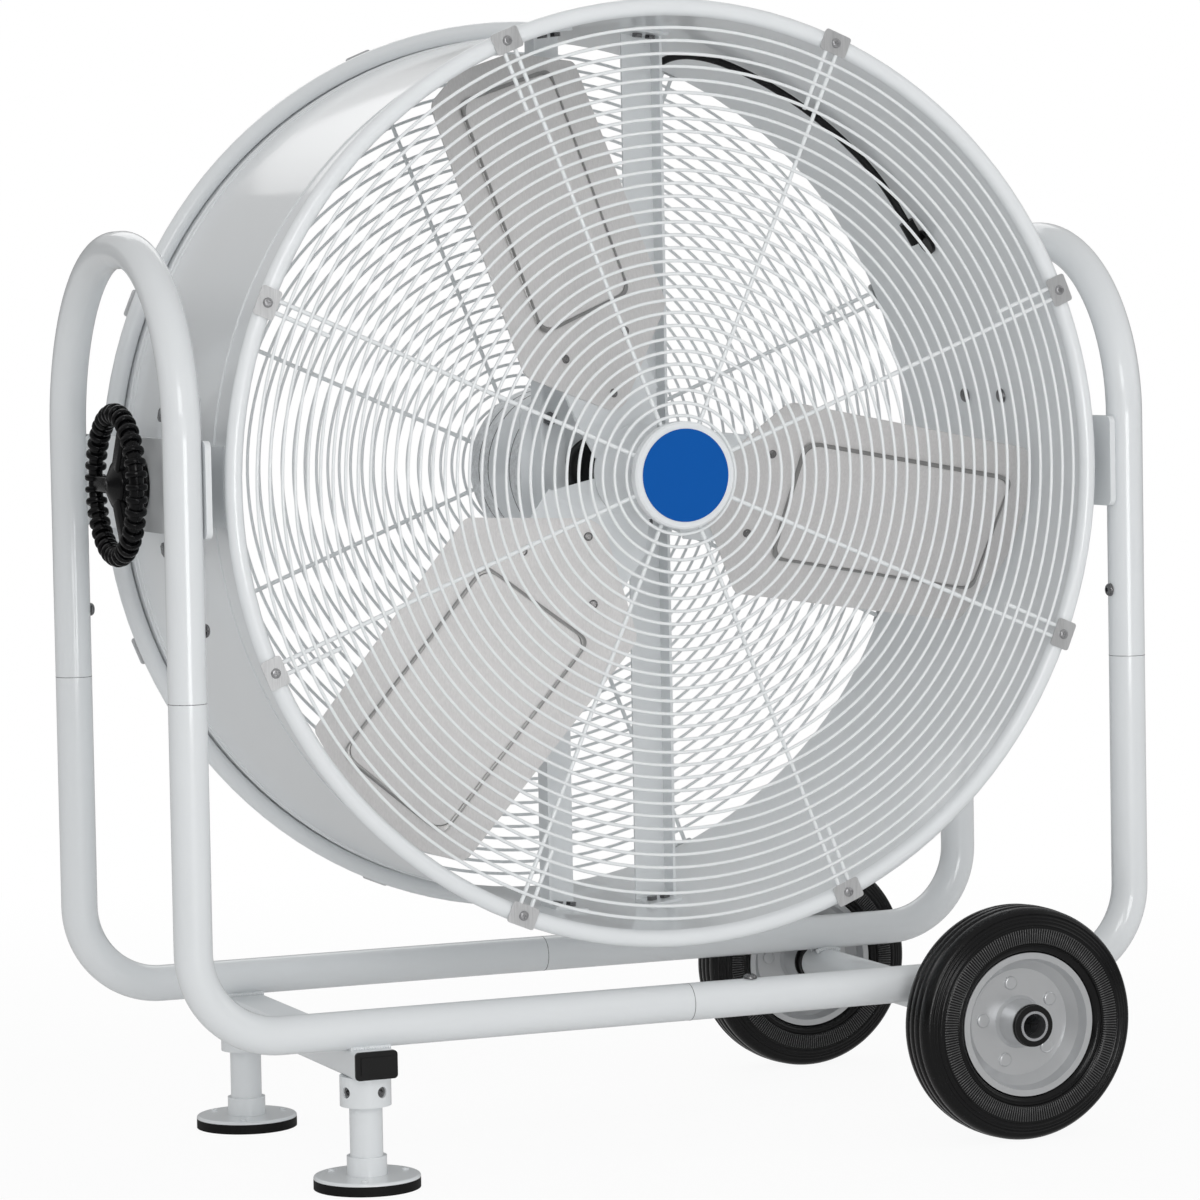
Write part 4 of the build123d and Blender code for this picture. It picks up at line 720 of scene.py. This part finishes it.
welds = {
    "legX": 0.5205,
    "legY": 0.198,
    "plateX": 0.5014,
    "plateHalf": 0.046,
    "beamX": -0.343,
    "beamTop": 0.14055,
    "axleX": tyres["x"],
    "seamZ": 0.491,
    "seamX": 0.005,
    "railZ": 0.1596,
    "tubeRadius": 0.01905,  # the frame's tubes and the axle's
    "beadRadius": 0.0028,
    "lift": 0.0012,        # from its corner to a bead's middle
    "plateInset": 0.0088,  # from the leg's middle to the plate's bead
    "besideRail": 0.0085,  # from the rail's middle to the beads at its two sides
    "beamBead": 0.021,     # half the bead's length on the foot beam
    "axleBead": 0.014,     # and on the axle tube, in so many steps
    "axleSteps": 4,
    "seamWide": 0.00056,
    "seamSunk": 0.0004,
    "seamProud": 0.00012,
    "seamSegments": 64,
}


def makeWelds():
    paths = []
    half, lift, radius = welds["plateHalf"], welds["lift"], welds["tubeRadius"]
    beamX, beamBead, steps = welds["beamX"], welds["beamBead"], welds["axleSteps"]
    for side in (-1, 1):
        for end in (-1, 1):
            x, y = side * (welds["plateX"] + lift), end * (welds["legY"] - welds["plateInset"])
            paths.append([(x, y, axisHeight - half), (x, y, axisHeight), (x, y, axisHeight + half)])
    for end in (-1, 1):
        for shift in (-welds["besideRail"], welds["besideRail"]):
            y, z = end * welds["legY"] + shift, welds["beamTop"] + lift
            paths.append([(beamX - beamBead, y, z), (beamX, y, z), (beamX + beamBead, y, z)])
            path = []
            for step in range(-steps, steps + 1):
                across = step * welds["axleBead"] / steps
                # the bead follows the round tube down by half its fall
                fall = (radius - math.sqrt(radius ** 2 - across ** 2)) / 2
                path.append((welds["axleX"] + across, y, z - fall))
            paths.append(path)
    runTree("frameWelds", beadTree, pathsMesh("weldPaths", paths), "frame", "frame_paint",
            Bead_Radius=welds["beadRadius"])


def makeSeams():
    # a fine dark band where two tubes meet: painted shade of the narrow gap between them
    seam = bandMesh("seam", welds["seamWide"], welds["seamSunk"], welds["seamProud"])
    spots = []
    for end in (-1, 1):
        for side in (-1, 1):
            spots.append(((0, 0, 0), (side * welds["legX"], end * welds["legY"], welds["seamZ"])))
        spots.append(((0, tau / 4, 0), (welds["seamX"], end * welds["legY"], welds["railZ"])))
    for number, (turn, place) in enumerate(spots):
        runTree(f"tubeSeamShade{number}", turnedTree, seam, "frame", "dark_steel",
                Base_Radius=welds["tubeRadius"], Segments=welds["seamSegments"], Turn=turn, Place=place)


makeWelds()
makeSeams()
print("stage: welds and seams")


# soft border of each blade's raised panel

blades = {
    "count": 3,
    "turn": 23.8,
    "pitch": math.radians(20.3),
    "lineY": -0.1095,
    "rise": 0.0024,
    "slope": 0.0040,
    "bead": 0.0008,
    "rounding": 0.014,
    "corners": [(0.172, -0.080), (0.180, 0.047), (0.424, 0.027), (0.410, -0.098)],
    # across the border: share of the slope that it stands out, then its height as a share of the
    # rise, a share of the bead and some mm
    "profile": [(1.0, 0.0, 0.0, 0.03), (0.72, 0.0, 0.0, 0.4), (0.4, 0.72, 0.0, 0.0), (0.12, 1.0, 0.8, 0.0),
                (-0.2, 1.0, 1.0, 0.0), (-0.55, 1.0, 0.6, 0.0), (-0.85, 1.0, 0.0, 0.04)],
}


def roundedLoop(corners, radius, steps=8):
    # the corners of a convex outline, each as an arc between its two sides
    loop = []
    count = len(corners)
    for number, corner in enumerate(corners):
        corner = Vector(corner)
        back = (Vector(corners[number - 1]) - corner).normalized()
        ahead = (Vector(corners[(number + 1) % count]) - corner).normalized()
        half = back.angle(ahead) / 2
        centre = corner + (back + ahead).normalized() * radius / math.sin(half)
        start = corner + back * radius / math.tan(half) - centre
        end = corner + ahead * radius / math.tan(half) - centre
        for step in range(steps + 1):
            loop.append(centre + (start.slerp(end, step / steps)).normalized() * radius)
    return loop


def onBlade(point, height, number):
    # from the blade's own plane, out and across, to its place on the rotor
    lean = blades["pitch"]
    normal = Vector((math.sin(lean), -math.cos(lean), 0))
    across = Vector((-math.cos(lean), -math.sin(lean), 0))
    spot = Vector((0, blades["lineY"], point[0])) + across * point[1] + normal * height
    turn = Matrix.Rotation(math.radians(-(blades["turn"] - number * 360 / blades["count"])), 3, "Y")
    return turn @ spot + Vector((0, 0, axisHeight))


def makePanelBorders():
    rounding, slope = blades["rounding"], blades["slope"]
    # painted shade: the border's metal is far darker than the blade's, for the dark line along the panel's
    # step; its shine is the crease's own
    edgeShade = finish("bladeEdgeShade", (0.37, 0.365, 0.36), metallic=0.75, bump=0.3, Broad_Scale=60.0,
                     Fine_Scale=900.0, Tone_Depth=0.2, Fine_Tone=0.2, Roughness=0.3, Roughness_Depth=0.1)
    middle = sum((Vector(corner) for corner in blades["corners"]), Vector((0, 0))) / len(blades["corners"])
    for number in range(blades["count"]):
        rows = []
        # out on the sheet, up over the bead and down on the panel
        for share, riseShare, beadShare, added in blades["profile"]:
            grow = slope * share
            height = blades["rise"] * riseShare + blades["bead"] * beadShare + added / 1000
            corners = []
            for corner in blades["corners"]:
                away = Vector(corner) - middle
                shift = Vector((math.copysign(grow, away.x), math.copysign(grow, away.y)))
                corners.append(Vector(corner) + shift)
            loop = roundedLoop(corners, rounding + grow)
            rows.append([onBlade(point, height, number) for point in loop])
        points = [point for row in rows for point in row]
        width = len(rows[0])
        faces = []
        for row in range(len(rows) - 1):
            for i in range(width):
                j = (i + 1) % width
                low, high = row * width, (row + 1) * width
                faces.append((low + i, low + j, high + j, high + i))
        mesh = bpy.data.meshes.new(f"panelBorder{number + 1}")
        mesh.from_pydata(points, [], faces)
        mesh.shade_smooth()
        if mesh.polygons[0].normal.y > 0:
            mesh.flip_normals()
        mesh.materials.append(edgeShade)
        piece = bpy.data.objects.new(f"panelBorder{number + 1}", mesh)
        bpy.context.collection.objects.link(piece)
        finishPiece(piece, "rotor", closed=False)


makePanelBorders()
print("stage: blade panel borders")


# floor, light and camera

studio = {
    "floorReach": 9,
    "floorTone": 0.94,
    "floorRough": 0.9,
    "floorGloss": 0.1,
    "floorGlow": 0.93,     # how much of the floor near the object is plain white to the eye
    "glowStart": 0.8,      # metres from the middle where that grows to all of it
    "glowEnd": 2.2,
    "floorMirror": 0.45,   # the floor's level in reflections
    "ambient": 0.6,
    "horizon": 0.16,       # level of the low air in reflections, and of the air above it
    "ceiling": 0.5,
    "ceilingStart": 0.2,
    "ceilingSoft": 0.05,
    "lamps": [             # place, aim, width, height, watts
        ((-1.7, -4.2, 2.3), (0, 0, 0.6), 1.6, 1.2, 27),
        ((-0.4, -5.0, 0.5), (0, 0, 0.4), 1.8, 0.9, 35),
        ((3.4, -2.0, 1.9), (0.1, 0, 0.7), 1.2, 2.2, 5),
        ((0.6, 2.8, 2.6), (0, 0, 0.7), 2.4, 1.2, 10),
    ],
}


def eyeRay(tree):
    # 1 where the eye looks straight at it, also through glass
    path = addNode(tree, "ShaderNodeLightPath").outputs
    return calc(tree, "MAXIMUM", path["Is Camera Ray"], path["Is Transmission Ray"])


def buildWorld():
    world = bpy.data.worlds.new("studioAir")
    bpy.context.scene.world = world
    world.use_nodes = True
    tree = world.node_tree
    air = tree.nodes["Background"]
    air.inputs["Color"].default_value = (1, 1, 1, 1)
    # mirrors see a grey horizon under a bright ceiling, the eye plain white
    path = addNode(tree, "ShaderNodeLightPath").outputs
    way = addNode(tree, "ShaderNodeTexCoord").outputs["Generated"]
    lift = addNode(tree, "ShaderNodeSeparateXYZ", {"Vector": way}).outputs["Z"]
    band = addNode(tree, "ShaderNodeMapRange", {
        "Value": lift, "From Min": studio["ceilingStart"],
        "From Max": studio["ceilingStart"] + studio["ceilingSoft"],
        "To Min": studio["horizon"], "To Max": studio["ceiling"]}).outputs["Result"]
    level = addNode(tree, "ShaderNodeMix", {
        "Factor": path["Is Glossy Ray"], "A": studio["ambient"], "B": band})
    level = addNode(tree, "ShaderNodeMix", {
        "Factor": eyeRay(tree), "A": socketOf(level.outputs, "Result"), "B": 1.0})
    tree.links.new(socketOf(level.outputs, "Result"), air.inputs["Strength"])


def buildFloor():
    mesh = bpy.data.meshes.new("floor")
    far = studio["floorReach"]
    corners = [(-far, -far, 0), (far, -far, 0), (far, far, 0), (-far, far, 0)]
    mesh.from_pydata(corners, [], [(0, 1, 2, 3)])
    floor = bpy.data.objects.new("floor", mesh)
    bpy.context.collection.objects.link(floor)
    material = bpy.data.materials.new("floorPaper")
    material.use_nodes = True
    tree = material.node_tree
    paper = tree.nodes["Principled BSDF"]
    paper.inputs["Base Color"].default_value = (studio["floorTone"],) * 3 + (1,)
    paper.inputs["Roughness"].default_value = studio["floorRough"]
    paper.inputs["Specular IOR Level"].default_value = studio["floorGloss"]
    mirrored = addNode(tree, "ShaderNodeLightPath").outputs["Is Glossy Ray"]
    level = addNode(tree, "ShaderNodeMix", {"Factor": mirrored, "A": 1.0, "B": studio["floorMirror"]})
    glow = addNode(tree, "ShaderNodeEmission", {"Strength": socketOf(level.outputs, "Result")})
    place = addNode(tree, "ShaderNodeTexCoord")
    reach = addNode(tree, "ShaderNodeVectorMath", {0: place.outputs["Object"]}, operation="LENGTH")
    fade = addNode(tree, "ShaderNodeMapRange", {
        "Value": reach.outputs["Value"], "From Min": studio["glowStart"], "From Max": studio["glowEnd"],
        "To Min": studio["floorGlow"]})
    seen = calc(tree, "MULTIPLY", fade.outputs["Result"], calc(tree, "MAXIMUM", eyeRay(tree), mirrored))
    mixed = addNode(tree, "ShaderNodeMixShader", {
        0: seen, 1: paper.outputs["BSDF"], 2: glow.outputs["Emission"]})
    tree.links.new(mixed.outputs["Shader"], tree.nodes["Material Output"].inputs["Surface"])
    mesh.materials.append(material)


def buildLamps():
    for number, (place, aim, wide, high, watts) in enumerate(studio["lamps"]):
        lamp = bpy.data.lights.new(f"softbox{number}", "AREA")
        lamp.shape = "RECTANGLE"
        lamp.size = wide
        lamp.size_y = high
        lamp.energy = watts
        holder = bpy.data.objects.new(f"softbox{number}", lamp)
        bpy.context.collection.objects.link(holder)
        way = Vector(aim) - Vector(place)
        holder.matrix_world = Matrix.Translation(place) @ way.to_track_quat("-Z", "Y").to_matrix().to_4x4()


# fitted to the photograph: where its camera stood, and its lens in its own pixels
shot = {
    "azimuth": -22.813,
    "elevation": 3.025,
    "roll": -1.023,
    "place": (-1.8098, -4.3108, axisHeight + 0.1591),
    "focal": 4435.5,
    "pixels": 1200,
    "shift": (-3.5, -47),
    "film": 36,
    "farthest": 60,
}


def buildCamera():
    azimuth, elevation, roll = (math.radians(shot[name]) for name in ("azimuth", "elevation", "roll"))
    ahead = Vector((-math.sin(azimuth) * math.cos(elevation), math.cos(azimuth) * math.cos(elevation),
                    -math.sin(elevation)))
    level = Vector((math.cos(azimuth), math.sin(azimuth), 0))
    above = level.cross(ahead)
    right = level * math.cos(roll) + above * math.sin(roll)
    up = above * math.cos(roll) - level * math.sin(roll)
    camera = bpy.data.objects.new("camera", bpy.data.cameras.new("camera"))
    bpy.context.collection.objects.link(camera)
    camera.matrix_world = Matrix([
        (right[row], up[row], -ahead[row], shot["place"][row]) for row in range(3)] + [(0, 0, 0, 1)])
    camera.data.sensor_width = shot["film"]
    camera.data.lens = shot["focal"] / shot["pixels"] * shot["film"]
    camera.data.shift_x = shot["shift"][0] / shot["pixels"]
    camera.data.shift_y = shot["shift"][1] / shot["pixels"]
    camera.data.clip_end = shot["farthest"]
    bpy.context.scene.camera = camera


bpy.context.scene.view_settings.view_transform = "Standard"
buildWorld()
buildFloor()
buildLamps()
buildCamera()
print("stage: floor, light and camera")
